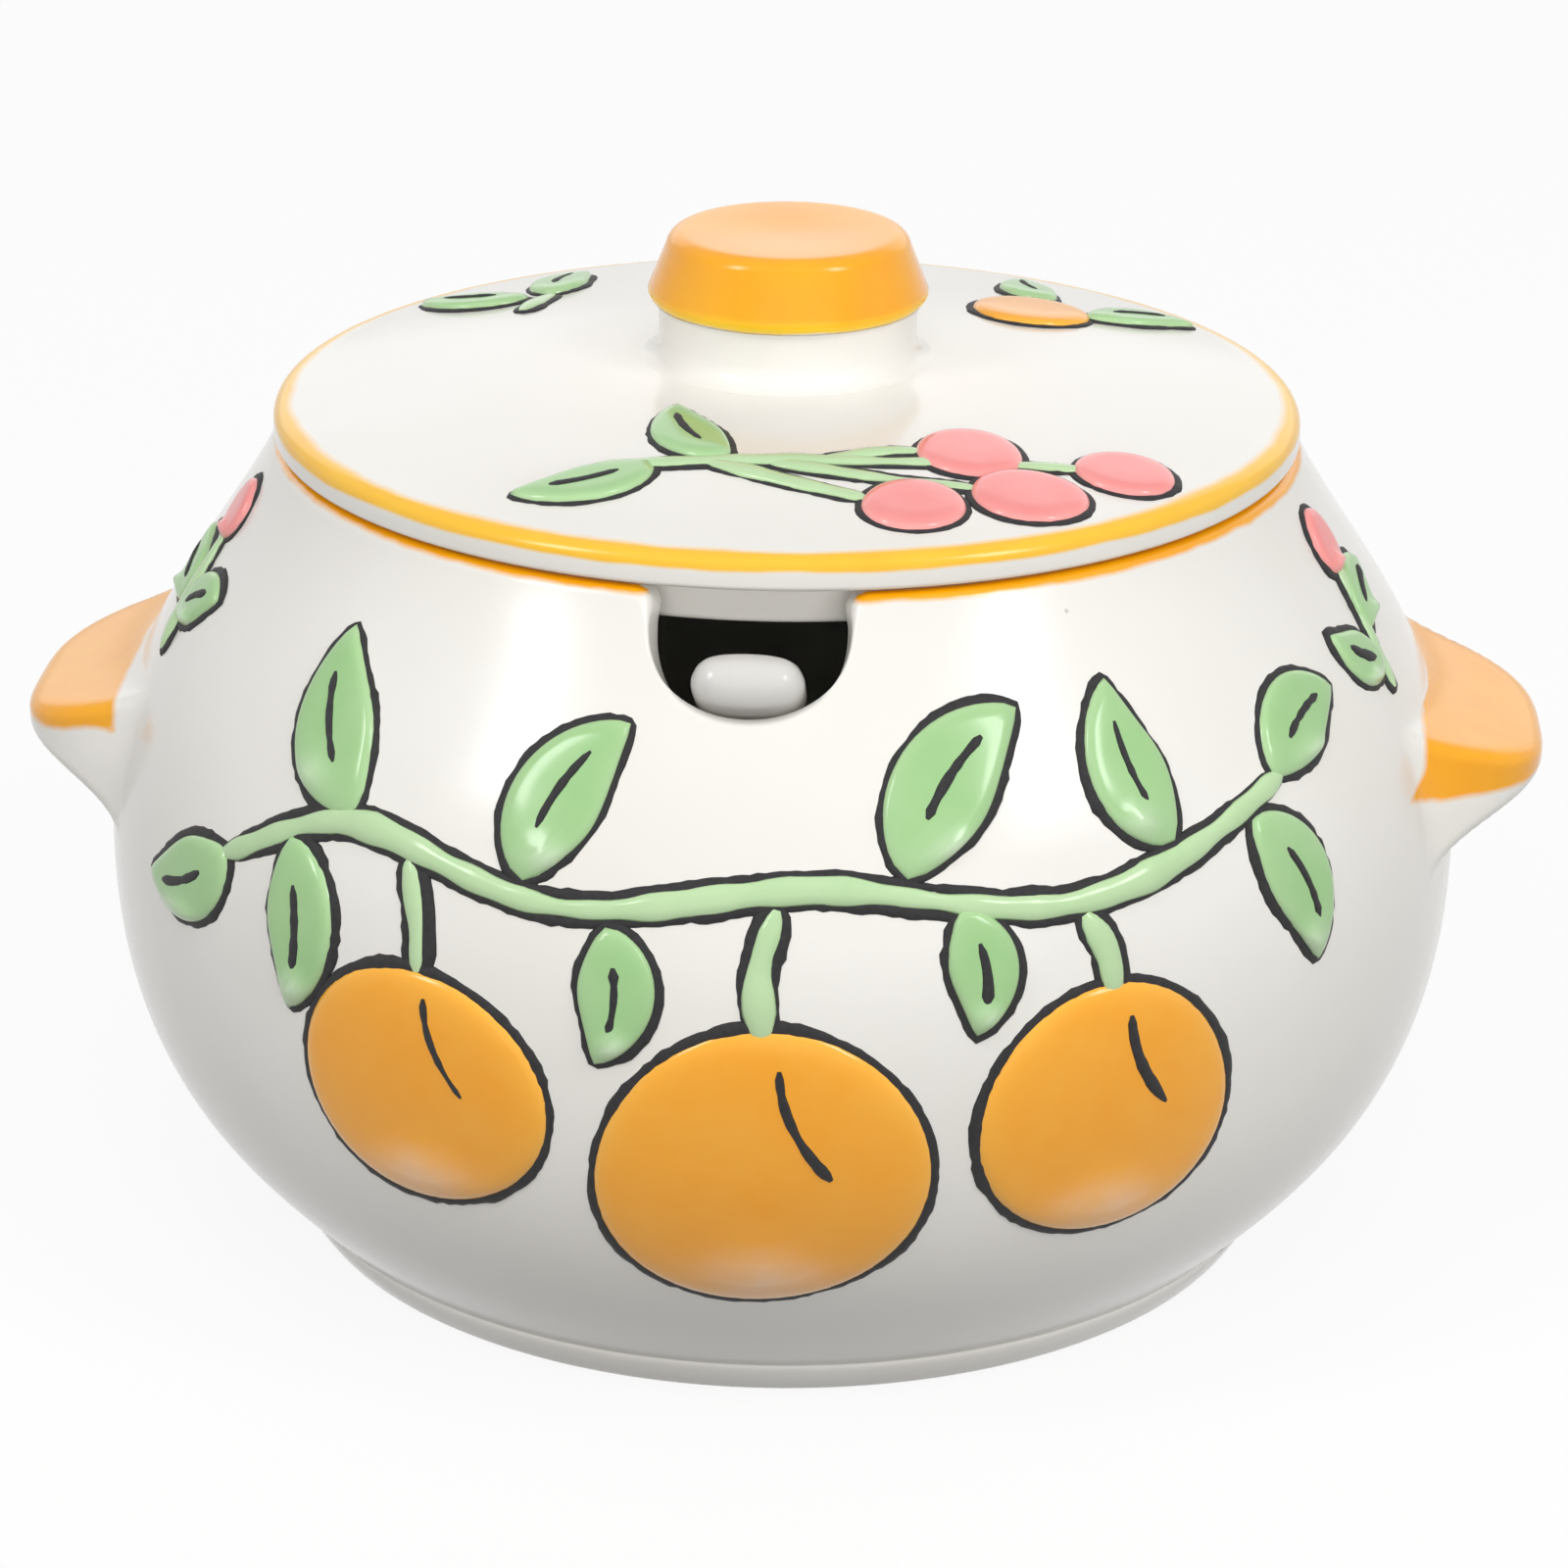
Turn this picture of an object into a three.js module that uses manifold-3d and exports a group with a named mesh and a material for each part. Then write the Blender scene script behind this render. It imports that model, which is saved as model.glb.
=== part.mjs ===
import * as THREE from "three";
import { mergeVertices } from "three/addons/utils/BufferGeometryUtils.js";
import Module from "manifold-3d";

// Condiment pot: a round glazed pot on a foot ring, with a lug on each side and a notch in its rim,
// a domed lid with a knob, and a spoon that leans from the floor of the pot into the notch.
// Millimetres, +Z up. The origin is under the middle of the foot ring, -Y is the front, where the notch is.

// Pot: foot ring, belly and rim
const FOOT_RADIUS = 41.6;
const FOOT_HEIGHT = 3.15;
const FOOT_RING_WIDTH = 5;
const FOOT_RECESS = 1.5;
const FOOT_CHAMFER = 0.4;
const FOOT_STEP = 1.5;
const FLARE_ANGLE = THREE.MathUtils.degToRad(45);
const BELLY_RADIUS = 57.5;
const BELLY_HEIGHT = 34.5;
const RIM_RADIUS = 43.2;
const RIM_HEIGHT = 69.1;
const RIM_ROUND = 1.3;
const SHOULDER_ANGLE = THREE.MathUtils.degToRad(26.8);
const WALL = 3.6;
const FLOOR_THICKNESS = 4.5;
const FLOOR_RADIUS = 36;

// How far each end of a profile curve holds its direction, as a share of the height that the curve climbs
const FLARE_TENSION = 0.29;
const BELLY_TENSION_BELOW = 0.57;
const BELLY_TENSION_ABOVE = 0.49;
const SHOULDER_TENSION = 0.34;
const FLOOR_TENSION = 0.35;

// Notch in the rim, cut square to the wall
const NOTCH_WIDTH = 16.4;
const NOTCH_DEPTH = 8.6;
const NOTCH_CORNER = 1.5;
const NOTCH_REACH = 14;

// Lugs
const LUG_STANDOUT = 7.1;
const LUG_HEIGHT = 44;
const LUG_EDGE = 2.5;
const LUG_EDGE_ROUND = 1;
const LUG_HALF_WIDTH = 15.9;
const LUG_PLAN_DEPTH = 23;
const LUG_SQUARENESS = 3.2;
const LUG_TOP_SLOPE = THREE.MathUtils.degToRad(16.3);
const LUG_UNDER_SLOPE = THREE.MathUtils.degToRad(22);
const LUG_HALF_TURN = THREE.MathUtils.degToRad(82);

// Lid
const LID_INSET = 0.2;
const LID_EDGE = 2.8;
const LID_EDGE_ROUND = 1.3;
const LID_LOWER_ROUND = 0.7;
const LID_RISE = 3.4;
const LID_WALL = 3.2;
const SKIRT_DEPTH = 3.9;
const SKIRT_WALL = 2.6;

// Knob
const KNOB_NECK_RADIUS = 10.8;
const KNOB_NECK_HEIGHT = 4.8;
const KNOB_NECK_FILLET = 1.2;
const KNOB_HEAD_RADIUS = 11.7;
const KNOB_HEAD_HEIGHT = 5.9;
const KNOB_HEAD_ROUND = 0.9;
const KNOB_TAPER = 1.1;
const KNOB_TOP_ROUND = 1.3;
const KNOB_SEAT_MARGIN = 0.4;

// Spoon
const SPOON_LENGTH = 100;
const SPOON_STICKS_OUT = 2;
const HANDLE_WIDTH = 9;
const HANDLE_THICKNESS = 4.8;
const HANDLE_SQUARENESS = 2.8;
const HANDLE_NECK_WIDTH = 6.4;
const HANDLE_NECK_THICKNESS = 4;
const BOWL_LENGTH = 32;
const BOWL_WIDTH = 24;
const BOWL_DEPTH = 8;
const BOWL_WALL = 2.2;

// Clearances: slip in a luted joint, a piece on its seat, the handle in the notch, the skirt in the mouth
const SLIP_JOINT = 0.3;
const SEAT_GAP = 0.3;
const HANDLE_GAP = 0.9;
const SKIRT_CLEARANCE = 0.8;

// Fineness: segments of the round shapes, and steps along the curves of each profile
const POT_SEGMENTS = 48;
const KNOB_SEGMENTS = 32;
const SPOON_SEGMENTS = 20;
const NOTCH_SEGMENTS = 6;
const UPPER_STEPS = 8;
const LOWER_STEPS = 7;
const FLOOR_STEPS = 7;
const EDGE_STEPS = 3;
const DOME_STEPS = 5;
const LUG_STEPS = 18;
const LUG_TIP_STEPS = 4;
const HANDLE_STEPS = 12;
const HANDLE_END_STEPS = 4;
const HALVINGS = 40;
const WELD = 1e-4;

const wasm = await Module();
wasm.setup();

const point = (x, y) => new THREE.Vector2(x, y);
const heading = (angle) => point(Math.sin(angle), Math.cos(angle));
const line = (a, b) => new THREE.LineCurve(a, b);
const along = (p, direction, length) => p.clone().addScaledVector(direction, length);

// Points along a chain of curves, each cut into its own number of steps
function chain(...stretches) {
  const points = stretches.flatMap(([curve, steps]) => curve.getPoints(steps));
  return points.filter((p, i) => i === 0 || p.distanceTo(points[i - 1]) > WELD);
}

// Points beside a curve, at a distance to its right
function beside(curve, distance, steps) {
  return curve.getPoints(steps).map((p, i) => {
    const tangent = curve.getTangent(i / steps);
    return p.clone().add(point(tangent.y, -tangent.x).multiplyScalar(distance));
  });
}

// A profile of radius and height, turned about the Z axis
function turned(profile, segments) {
  return new THREE.LatheGeometry(profile, segments).rotateX(Math.PI / 2);
}

// A closed geometry through a row of like closed sections
function loft(sections) {
  const count = sections[0].length;
  const last = (sections.length - 1) * count;
  const index = [];
  for (let start = 0; start < last; start += count) {
    for (let i = 0; i < count; i++) {
      const a = start + i;
      const b = start + ((i + 1) % count);
      index.push(a, b, b + count, a, b + count, a + count);
    }
  }
  for (let i = 1; i + 1 < count; i++) {
    index.push(0, i + 1, i, last, last + i, last + i + 1);
  }
  return new THREE.BufferGeometry().setFromPoints(sections.flat()).setIndex(index);
}

// A closed geometry as a solid that can be joined and cut
function solidOf(geometry) {
  const bare = geometry.clone();
  bare.deleteAttribute("normal");
  bare.deleteAttribute("uv");
  const merged = mergeVertices(bare, WELD);
  const vertProperties = merged.getAttribute("position").array;
  const triVerts = new Uint32Array(merged.index.array);
  return new wasm.Manifold(new wasm.Mesh({ numProp: 3, vertProperties, triVerts }));
}

// A solid as a geometry
function geometryOf(solid) {
  const mesh = solid.getMesh();
  const position = new THREE.BufferAttribute(new Float32Array(mesh.vertProperties), 3);
  const geometry = new THREE.BufferGeometry().setAttribute("position", position);
  geometry.setIndex(new THREE.BufferAttribute(new Uint32Array(mesh.triVerts), 1));
  geometry.computeVertexNormals();
  return geometry;
}

const whiteGlaze = new THREE.MeshStandardMaterial({ color: "#f1eee8", roughness: 0.15, metalness: 0 });
const orangeGlaze = new THREE.MeshStandardMaterial({ color: "#f7a524", roughness: 0.15, metalness: 0 });

function piece(name, geometry, material) {
  const mesh = new THREE.Mesh(geometry, material);
  mesh.name = name;
  return mesh;
}

// Outside of the pot: one curve from the foot to the belly, one from the belly to the rim
const flareStart = point(FOOT_RADIUS + FOOT_STEP, FOOT_HEIGHT);
const belly = point(BELLY_RADIUS, BELLY_HEIGHT);
const rimEdge = point(RIM_RADIUS, RIM_HEIGHT - RIM_ROUND * (1 - Math.sin(SHOULDER_ANGLE)));
const lowerRise = BELLY_HEIGHT - FOOT_HEIGHT;
const upperRise = rimEdge.y - BELLY_HEIGHT;
const lowerCurve = new THREE.CubicBezierCurve(
  flareStart,
  along(flareStart, heading(FLARE_ANGLE), FLARE_TENSION * lowerRise),
  along(belly, heading(0), -BELLY_TENSION_BELOW * lowerRise),
  belly,
);
const upperCurve = new THREE.CubicBezierCurve(
  belly,
  along(belly, heading(0), BELLY_TENSION_ABOVE * upperRise),
  along(rimEdge, heading(-SHOULDER_ANGLE), -SHOULDER_TENSION * upperRise),
  rimEdge,
);

// Inside of the pot: the wall's own thickness above the belly, a rounded floor below it
const floorHeight = FOOT_RECESS + FLOOR_THICKNESS;
const floorEdge = point(FLOOR_RADIUS, floorHeight);
const bellyInside = point(BELLY_RADIUS - WALL, BELLY_HEIGHT);
const innerRise = BELLY_HEIGHT - floorHeight;
const floorCurve = new THREE.CubicBezierCurve(
  bellyInside,
  along(bellyInside, heading(0), -BELLY_TENSION_BELOW * innerRise),
  along(floorEdge, heading(Math.PI / 2), FLOOR_TENSION * innerRise),
  floorEdge,
);
const innerWall = beside(upperCurve, -WALL, UPPER_STEPS).reverse();
const mouthRadius = innerWall[0].x;

// Rim: rounded outside and inside, with a flat between for the lid
const rimOuter = new THREE.ArcCurve(
  rimEdge.x - RIM_ROUND * Math.cos(SHOULDER_ANGLE),
  RIM_HEIGHT - RIM_ROUND,
  RIM_ROUND,
  SHOULDER_ANGLE,
  Math.PI / 2,
  false,
);
const rimInner = new THREE.ArcCurve(
  mouthRadius + RIM_ROUND,
  RIM_HEIGHT - RIM_ROUND,
  RIM_ROUND,
  Math.PI / 2,
  Math.PI,
  false,
);

const footInner = FOOT_RADIUS - FOOT_RING_WIDTH;
const footProfile = [
  point(0, FOOT_RECESS),
  point(footInner - FOOT_RECESS, FOOT_RECESS),
  point(footInner, 0),
  point(FOOT_RADIUS - FOOT_CHAMFER, 0),
  point(FOOT_RADIUS, FOOT_CHAMFER),
];
const outside = chain([lowerCurve, LOWER_STEPS], [upperCurve, UPPER_STEPS]);
const rimFlat = line(rimOuter.getPoint(1), rimInner.getPoint(0));
const rim = chain([rimOuter, EDGE_STEPS], [rimFlat, 1], [rimInner, EDGE_STEPS]);
const inside = [...innerWall.slice(0, -1), ...floorCurve.getPoints(FLOOR_STEPS)];
const potProfile = [...footProfile, ...outside, ...rim.slice(1), ...inside, point(0, floorHeight)];

// Where the outside of the pot stands at a height above its belly
function shoulderAt(height) {
  let low = 0;
  let high = 1;
  for (let i = 0; i < HALVINGS; i++) {
    const middle = (low + high) / 2;
    if (upperCurve.getPoint(middle).y < height) low = middle;
    else high = middle;
  }
  return { lip: upperCurve.getPoint(low), slope: upperCurve.getTangent(low) };
}

// Notch: a round-bottomed slot from its lowest point on the outside, square to the wall there
const notch = shoulderAt(RIM_HEIGHT - NOTCH_DEPTH);
const notchLean = Math.atan2(-notch.slope.x, notch.slope.y);
function notchCutter() {
  const half = NOTCH_WIDTH / 2;
  const toRim = NOTCH_DEPTH / Math.cos(notchLean);
  const above = toRim + NOTCH_DEPTH;
  const outline = new THREE.Shape();
  outline.moveTo(-half - NOTCH_CORNER, above);
  outline.lineTo(-half - NOTCH_CORNER, toRim);
  outline.absarc(-half - NOTCH_CORNER, toRim - NOTCH_CORNER, NOTCH_CORNER, Math.PI / 2, 0, true);
  outline.absarc(0, half, half, Math.PI, 2 * Math.PI, false);
  outline.absarc(half + NOTCH_CORNER, toRim - NOTCH_CORNER, NOTCH_CORNER, Math.PI, Math.PI / 2, true);
  outline.lineTo(half + NOTCH_CORNER, above);
  const cutter = new THREE.ExtrudeGeometry(outline, {
    depth: 2 * NOTCH_REACH,
    bevelEnabled: false,
    curveSegments: NOTCH_SEGMENTS,
  });
  cutter.translate(0, 0, -NOTCH_REACH);
  cutter.rotateX(Math.PI / 2 - notchLean);
  return cutter.translate(0, -notch.lip.x, notch.lip.y);
}

const potBody = solidOf(turned(potProfile, POT_SEGMENTS)).subtract(solidOf(notchCutter()));

// Lug: in plan a tongue with a full, rounded end. Its top is flat and falls outwards, its underside is flat
// and slopes back to the pot, and its side is tall at the pot and low at the end.
const lugReach = BELLY_RADIUS + LUG_STANDOUT;
const lugRoot = lugReach - LUG_PLAN_DEPTH - LUG_EDGE;
const lugEdgeFlat = LUG_EDGE / 2 - LUG_EDGE_ROUND;
function lugSection(across) {
  const share = Math.abs(across / LUG_HALF_WIDTH) ** LUG_SQUARENESS;
  const setBack = LUG_PLAN_DEPTH * (1 - (1 - share) ** (1 / LUG_SQUARENESS));
  const roundX = lugReach - LUG_EDGE_ROUND - setBack;
  const upperZ = LUG_HEIGHT + lugEdgeFlat + setBack * Math.tan(LUG_TOP_SLOPE);
  const lowerZ = LUG_HEIGHT - lugEdgeFlat - setBack * Math.tan(LUG_UNDER_SLOPE);
  const lowerArc = new THREE.ArcCurve(roundX, lowerZ, LUG_EDGE_ROUND, LUG_UNDER_SLOPE - Math.PI / 2, 0);
  const upperArc = new THREE.ArcCurve(roundX, upperZ, LUG_EDGE_ROUND, 0, Math.PI / 2 - LUG_TOP_SLOPE);
  const lower = lowerArc.getPoints(LUG_TIP_STEPS);
  const upper = upperArc.getPoints(LUG_TIP_STEPS);
  const top = upper[LUG_TIP_STEPS];
  return [
    point(lugRoot, lower[0].y - (lower[0].x - lugRoot) * Math.tan(LUG_UNDER_SLOPE)),
    ...lower,
    ...upper,
    point(lugRoot, top.y + (top.x - lugRoot) * Math.tan(LUG_TOP_SLOPE)),
  ].map((p) => new THREE.Vector3(p.x, across, p.y));
}

const lugSections = [];
for (let i = 0; i <= LUG_STEPS; i++) {
  const turn = THREE.MathUtils.lerp(LUG_HALF_TURN, -LUG_HALF_TURN, i / LUG_STEPS);
  lugSections.push(lugSection(LUG_HALF_WIDTH * Math.sin(turn)));
}
const grownOutside = [
  ...beside(lowerCurve, SLIP_JOINT, LOWER_STEPS).slice(0, -1),
  ...beside(upperCurve, SLIP_JOINT, UPPER_STEPS),
];
const blankProfile = [point(0, grownOutside[0].y), ...grownOutside, point(0, grownOutside.at(-1).y)];
const potBlank = solidOf(turned(blankProfile, POT_SEGMENTS));
const lug = geometryOf(solidOf(loft(lugSections)).subtract(potBlank));

// Lid: a shallow dome with a rounded edge, which rests on the rim, and a skirt that hangs in the mouth
const lidUnder = RIM_HEIGHT + SEAT_GAP;
const lidTopEdge = lidUnder + LID_EDGE;
const lidRadius = RIM_RADIUS - LID_INSET;
const domeRadius = lidRadius - LID_EDGE_ROUND;
const seatRadius = KNOB_NECK_RADIUS + KNOB_NECK_FILLET + KNOB_SEAT_MARGIN;
const seatHeight = lidTopEdge + LID_RISE;
const skirtOuter = mouthRadius - SKIRT_CLEARANCE;
const skirtInner = skirtOuter - SKIRT_WALL;
const skirtBottom = lidUnder - SKIRT_DEPTH;
const skirtRound = SKIRT_WALL / 4;

function domeAt(radius) {
  const fall = (radius ** 2 - seatRadius ** 2) / (domeRadius ** 2 - seatRadius ** 2);
  return seatHeight - LID_RISE * Math.max(fall, 0);
}

function dome(from, to, drop) {
  const points = [];
  for (let i = 0; i <= DOME_STEPS; i++) {
    const radius = THREE.MathUtils.lerp(from, to, i / DOME_STEPS);
    points.push(point(radius, domeAt(radius) - drop));
  }
  return points;
}

const lidEdgeUpper = new THREE.ArcCurve(
  domeRadius,
  lidTopEdge - LID_EDGE_ROUND,
  LID_EDGE_ROUND,
  Math.PI / 2,
  0,
  true,
);
const lidEdgeLower = new THREE.ArcCurve(
  lidRadius - LID_LOWER_ROUND,
  lidUnder + LID_LOWER_ROUND,
  LID_LOWER_ROUND,
  0,
  -Math.PI / 2,
  true,
);
const lidProfile = [
  point(0, seatHeight),
  ...dome(seatRadius, domeRadius, 0),
  ...lidEdgeUpper.getPoints(EDGE_STEPS).slice(1),
  ...lidEdgeLower.getPoints(EDGE_STEPS),
  point(skirtOuter, lidUnder),
  point(skirtOuter, skirtBottom + skirtRound),
  point(skirtOuter - skirtRound, skirtBottom),
  point(skirtInner + skirtRound, skirtBottom),
  point(skirtInner, skirtBottom + skirtRound),
  ...dome(skirtInner, seatRadius, LID_WALL),
  point(0, seatHeight - LID_WALL),
].reverse();

// Knob: a neck that spreads on to the lid and a head that tapers to its top
const knobFoot = seatHeight + SLIP_JOINT;
const headBottom = seatHeight + KNOB_NECK_HEIGHT;
const knobTop = headBottom + KNOB_HEAD_HEIGHT;
const headTopRadius = KNOB_HEAD_RADIUS - KNOB_TAPER;
const neckFoot = new THREE.ArcCurve(
  KNOB_NECK_RADIUS + KNOB_NECK_FILLET,
  knobFoot + KNOB_NECK_FILLET,
  KNOB_NECK_FILLET,
  -Math.PI / 2,
  -Math.PI,
  true,
);
const headLower = new THREE.ArcCurve(
  KNOB_HEAD_RADIUS - KNOB_HEAD_ROUND,
  headBottom + KNOB_HEAD_ROUND,
  KNOB_HEAD_ROUND,
  -Math.PI / 2,
  0,
  false,
);
const headUpper = new THREE.ArcCurve(
  headTopRadius - KNOB_TOP_ROUND,
  knobTop - KNOB_TOP_ROUND,
  KNOB_TOP_ROUND,
  0,
  Math.PI / 2,
  false,
);
const knobProfile = [
  point(0, knobFoot),
  ...neckFoot.getPoints(EDGE_STEPS),
  point(KNOB_NECK_RADIUS, headBottom),
  ...headLower.getPoints(EDGE_STEPS),
  ...headUpper.getPoints(EDGE_STEPS),
  point(0, knobTop),
];

// Spoon, in its own frame: Y from the middle of the bowl to the end of the handle, Z up from the bowl's rim
const bowlHalf = BOWL_LENGTH / 2;
const handleEnd = SPOON_LENGTH - bowlHalf;
const lipToBowl = handleEnd - SPOON_STICKS_OUT;

function ellipsoid(width, length, depth) {
  const round = new THREE.SphereGeometry(1, SPOON_SEGMENTS, SPOON_SEGMENTS / 2);
  return solidOf(round.rotateX(Math.PI / 2).scale(width / 2, length / 2, depth));
}

// A ring of points between an ellipse and a box
function fullOval(halfWidth, halfHeight) {
  const full = (c) => Math.sign(c) * Math.abs(c) ** (2 / HANDLE_SQUARENESS);
  const ring = [];
  for (let i = 0; i < SPOON_SEGMENTS; i++) {
    const turn = (i / SPOON_SEGMENTS) * 2 * Math.PI;
    ring.push(point(halfWidth * full(Math.cos(turn)), halfHeight * full(Math.sin(turn))));
  }
  return ring;
}

function handle() {
  const start = bowlHalf - BOWL_WALL * 2;
  const endRound = HANDLE_THICKNESS / 2;
  const straight = handleEnd - endRound;
  const places = [];
  for (let i = 0; i <= HANDLE_STEPS; i++) {
    places.push([THREE.MathUtils.lerp(start, straight, i / HANDLE_STEPS), 1]);
  }
  for (let i = 1; i < HANDLE_END_STEPS; i++) {
    const turn = (i / HANDLE_END_STEPS) * (Math.PI / 2);
    places.push([straight + endRound * Math.sin(turn), Math.cos(turn)]);
  }
  return loft(
    places.map(([y, share]) => {
      const t = (y - start) / (straight - start);
      const width = THREE.MathUtils.lerp(HANDLE_NECK_WIDTH, HANDLE_WIDTH, Math.min(t, 1));
      const thickness = THREE.MathUtils.lerp(HANDLE_NECK_THICKNESS, HANDLE_THICKNESS, Math.min(t, 1));
      const inset = (HANDLE_THICKNESS / 2) * (1 - share);
      const ring = fullOval(width / 2 - inset, (thickness / 2) * share);
      return ring.reverse().map((p) => new THREE.Vector3(p.x, y, p.y));
    }),
  );
}

const underRim = new THREE.BoxGeometry(2 * BOWL_WIDTH, 2 * BOWL_LENGTH, BOWL_DEPTH);
underRim.translate(0, 0, -BOWL_DEPTH / 2);
const bowlOuter = ellipsoid(BOWL_WIDTH, BOWL_LENGTH, BOWL_DEPTH).intersect(solidOf(underRim));
const bowlInner = ellipsoid(BOWL_WIDTH - 2 * BOWL_WALL, BOWL_LENGTH - 2 * BOWL_WALL, BOWL_DEPTH - BOWL_WALL);
const spoonSolid = bowlOuter.add(solidOf(handle())).subtract(bowlInner);

// The spoon leans with its handle just over the lip of the notch and its bowl just over the floor
const handleOnLip = HANDLE_THICKNESS / 2 + HANDLE_GAP;
function bowlHeightAt(lean) {
  return notch.lip.y + handleOnLip * Math.cos(lean) - lipToBowl * Math.sin(lean);
}
function bowlSeatAt(lean) {
  return floorHeight + SEAT_GAP + Math.hypot(bowlHalf * Math.sin(lean), BOWL_DEPTH * Math.cos(lean));
}
let flattest = 0;
let steepest = Math.PI / 2;
for (let i = 0; i < HALVINGS; i++) {
  const middle = (flattest + steepest) / 2;
  if (bowlHeightAt(middle) > bowlSeatAt(middle)) flattest = middle;
  else steepest = middle;
}
const lean = flattest;
const bowlBack = handleOnLip * Math.sin(lean) + lipToBowl * Math.cos(lean) - notch.lip.x;

const pot = new THREE.Group();
pot.add(piece("pot_body", geometryOf(potBody), whiteGlaze));
const rightLug = piece("lug_right", lug, orangeGlaze);
const leftLug = piece("lug_left", lug.clone(), orangeGlaze);
leftLug.rotation.z = Math.PI;
pot.add(rightLug, leftLug);

const lid = new THREE.Group();
lid.add(piece("lid_plate", turned(lidProfile, POT_SEGMENTS), whiteGlaze));
lid.add(piece("lid_knob", turned(knobProfile, KNOB_SEGMENTS), orangeGlaze));

const spoon = piece("spoon", geometryOf(spoonSolid), whiteGlaze);
spoon.position.set(0, bowlBack, bowlHeightAt(lean));
spoon.rotation.set(-lean, 0, Math.PI);

const condimentPot = new THREE.Group();
condimentPot.add(pot, lid, spoon);

export default condimentPot;
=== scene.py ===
import math

import bmesh
import bpy
import numpy as np
from mathutils import Matrix, Vector


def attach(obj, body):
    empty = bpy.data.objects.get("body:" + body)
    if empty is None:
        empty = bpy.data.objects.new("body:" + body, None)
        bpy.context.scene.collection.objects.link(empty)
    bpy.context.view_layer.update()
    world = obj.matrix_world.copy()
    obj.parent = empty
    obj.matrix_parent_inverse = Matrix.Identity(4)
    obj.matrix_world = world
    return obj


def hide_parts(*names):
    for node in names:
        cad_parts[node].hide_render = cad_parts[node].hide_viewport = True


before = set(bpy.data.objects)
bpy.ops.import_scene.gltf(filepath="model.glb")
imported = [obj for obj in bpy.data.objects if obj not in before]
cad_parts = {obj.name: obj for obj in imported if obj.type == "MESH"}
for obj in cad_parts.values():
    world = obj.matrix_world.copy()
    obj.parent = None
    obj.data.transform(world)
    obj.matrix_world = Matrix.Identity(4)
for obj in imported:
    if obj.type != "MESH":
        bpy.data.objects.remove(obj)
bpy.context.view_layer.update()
MM = 0.001

# Camera: a long lens in front of the pot, a little above it, tilted by a hair as it was held
TARGET = Vector((0, 0, 0.040))
DISTANCE = 0.450
ELEVATION = math.radians(21.03)
AZIMUTH = math.radians(3.5)
ROLL = math.radians(0.60)
LENS = 119.8
AIM_BELOW = 0.00293
AIM_RIGHT = 0.00008


def put(name, data):
    made = bpy.data.objects.new(name, data)
    bpy.context.scene.collection.objects.link(made)
    return made


camera = put("camera", bpy.data.cameras.new("camera"))
camera.data.lens = LENS
camera.data.sensor_width = 36
camera.data.sensor_fit = "HORIZONTAL"
camera.data.clip_start = 0.01
level = math.cos(ELEVATION)
outlook = Vector((level * math.sin(AZIMUTH), -level * math.cos(AZIMUTH), math.sin(ELEVATION)))
right = Vector((math.cos(AZIMUTH), math.sin(AZIMUTH), 0))
above = outlook.cross(right)
station = TARGET + DISTANCE * outlook
backward = (station - (TARGET - AIM_BELOW * above + AIM_RIGHT * right)).normalized()
right = above.cross(backward).normalized()
above = backward.cross(right)
turn = Matrix((right, above, backward)).transposed().to_4x4()
camera.matrix_world = Matrix.Translation(station) @ turn @ Matrix.Rotation(ROLL, 4, "Z")
bpy.context.scene.camera = camera


# Studio: a white sweep of paper under the pot, which shows as white to the lens and keeps the pot's shadow.
# Two upright soft boxes, each with a wide, weak veil around it, and one behind show in the gloss. The fills
# show nowhere and only even out the light.
def linear(code):
    parts = [int(code[i:i + 2], 16) / 255 for i in (1, 3, 5)]
    return [c / 12.92 if c <= 0.04045 else ((c + 0.055) / 1.055) ** 2.4 for c in parts] + [1]


def add(tree, kind, inputs=None, **settings):
    made = tree.nodes.new(kind)
    for name, value in settings.items():
        setattr(made, name, value)
    for name, value in (inputs or {}).items():
        if isinstance(value, bpy.types.NodeSocket):
            tree.links.new(value, made.inputs[name])
        else:
            made.inputs[name].default_value = value
    return made


def new_material(name):
    made = bpy.data.materials.new(name)
    made.use_nodes = True
    made.node_tree.nodes.clear()
    return made


def mesh_piece(name, points, faces, material):
    mesh = bpy.data.meshes.new(name)
    mesh.from_pydata(np.asarray(points, float).tolist(), [], [list(f) for f in faces])
    mesh.shade_smooth()
    mesh.materials.append(material)
    return put(name, mesh)


def in_sight(tree):
    seen = add(tree, "ShaderNodeLightPath").outputs
    mirrored = add(tree, "ShaderNodeMath", {0: seen["Is Glossy Ray"], 1: seen["Is Transmission Ray"]},
                   operation="MAXIMUM")
    shown = add(tree, "ShaderNodeMath", {0: seen["Is Camera Ray"], 1: mirrored.outputs[0]},
                operation="MAXIMUM")
    return shown.outputs[0]


PAPER_SIZE = 6.0
PAPER_SHOWN = 0.88
paper = new_material("white_paper_sweep")
tree = paper.node_tree
shaded = add(tree, "ShaderNodeBsdfDiffuse", {"Color": linear("#626160")})
lit = add(tree, "ShaderNodeBsdfDiffuse", {"Color": linear("#ffffff")})
glow = add(tree, "ShaderNodeEmission", {"Color": (1, 1, 1, 1), "Strength": 1.0})
bright = add(tree, "ShaderNodeMixShader", {0: PAPER_SHOWN, 1: lit.outputs[0], 2: glow.outputs[0]})
mixed = add(tree, "ShaderNodeMixShader", {0: in_sight(tree), 1: shaded.outputs[0], 2: bright.outputs[0]})
add(tree, "ShaderNodeOutputMaterial", {"Surface": mixed.outputs[0]})
half = PAPER_SIZE / 2
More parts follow.
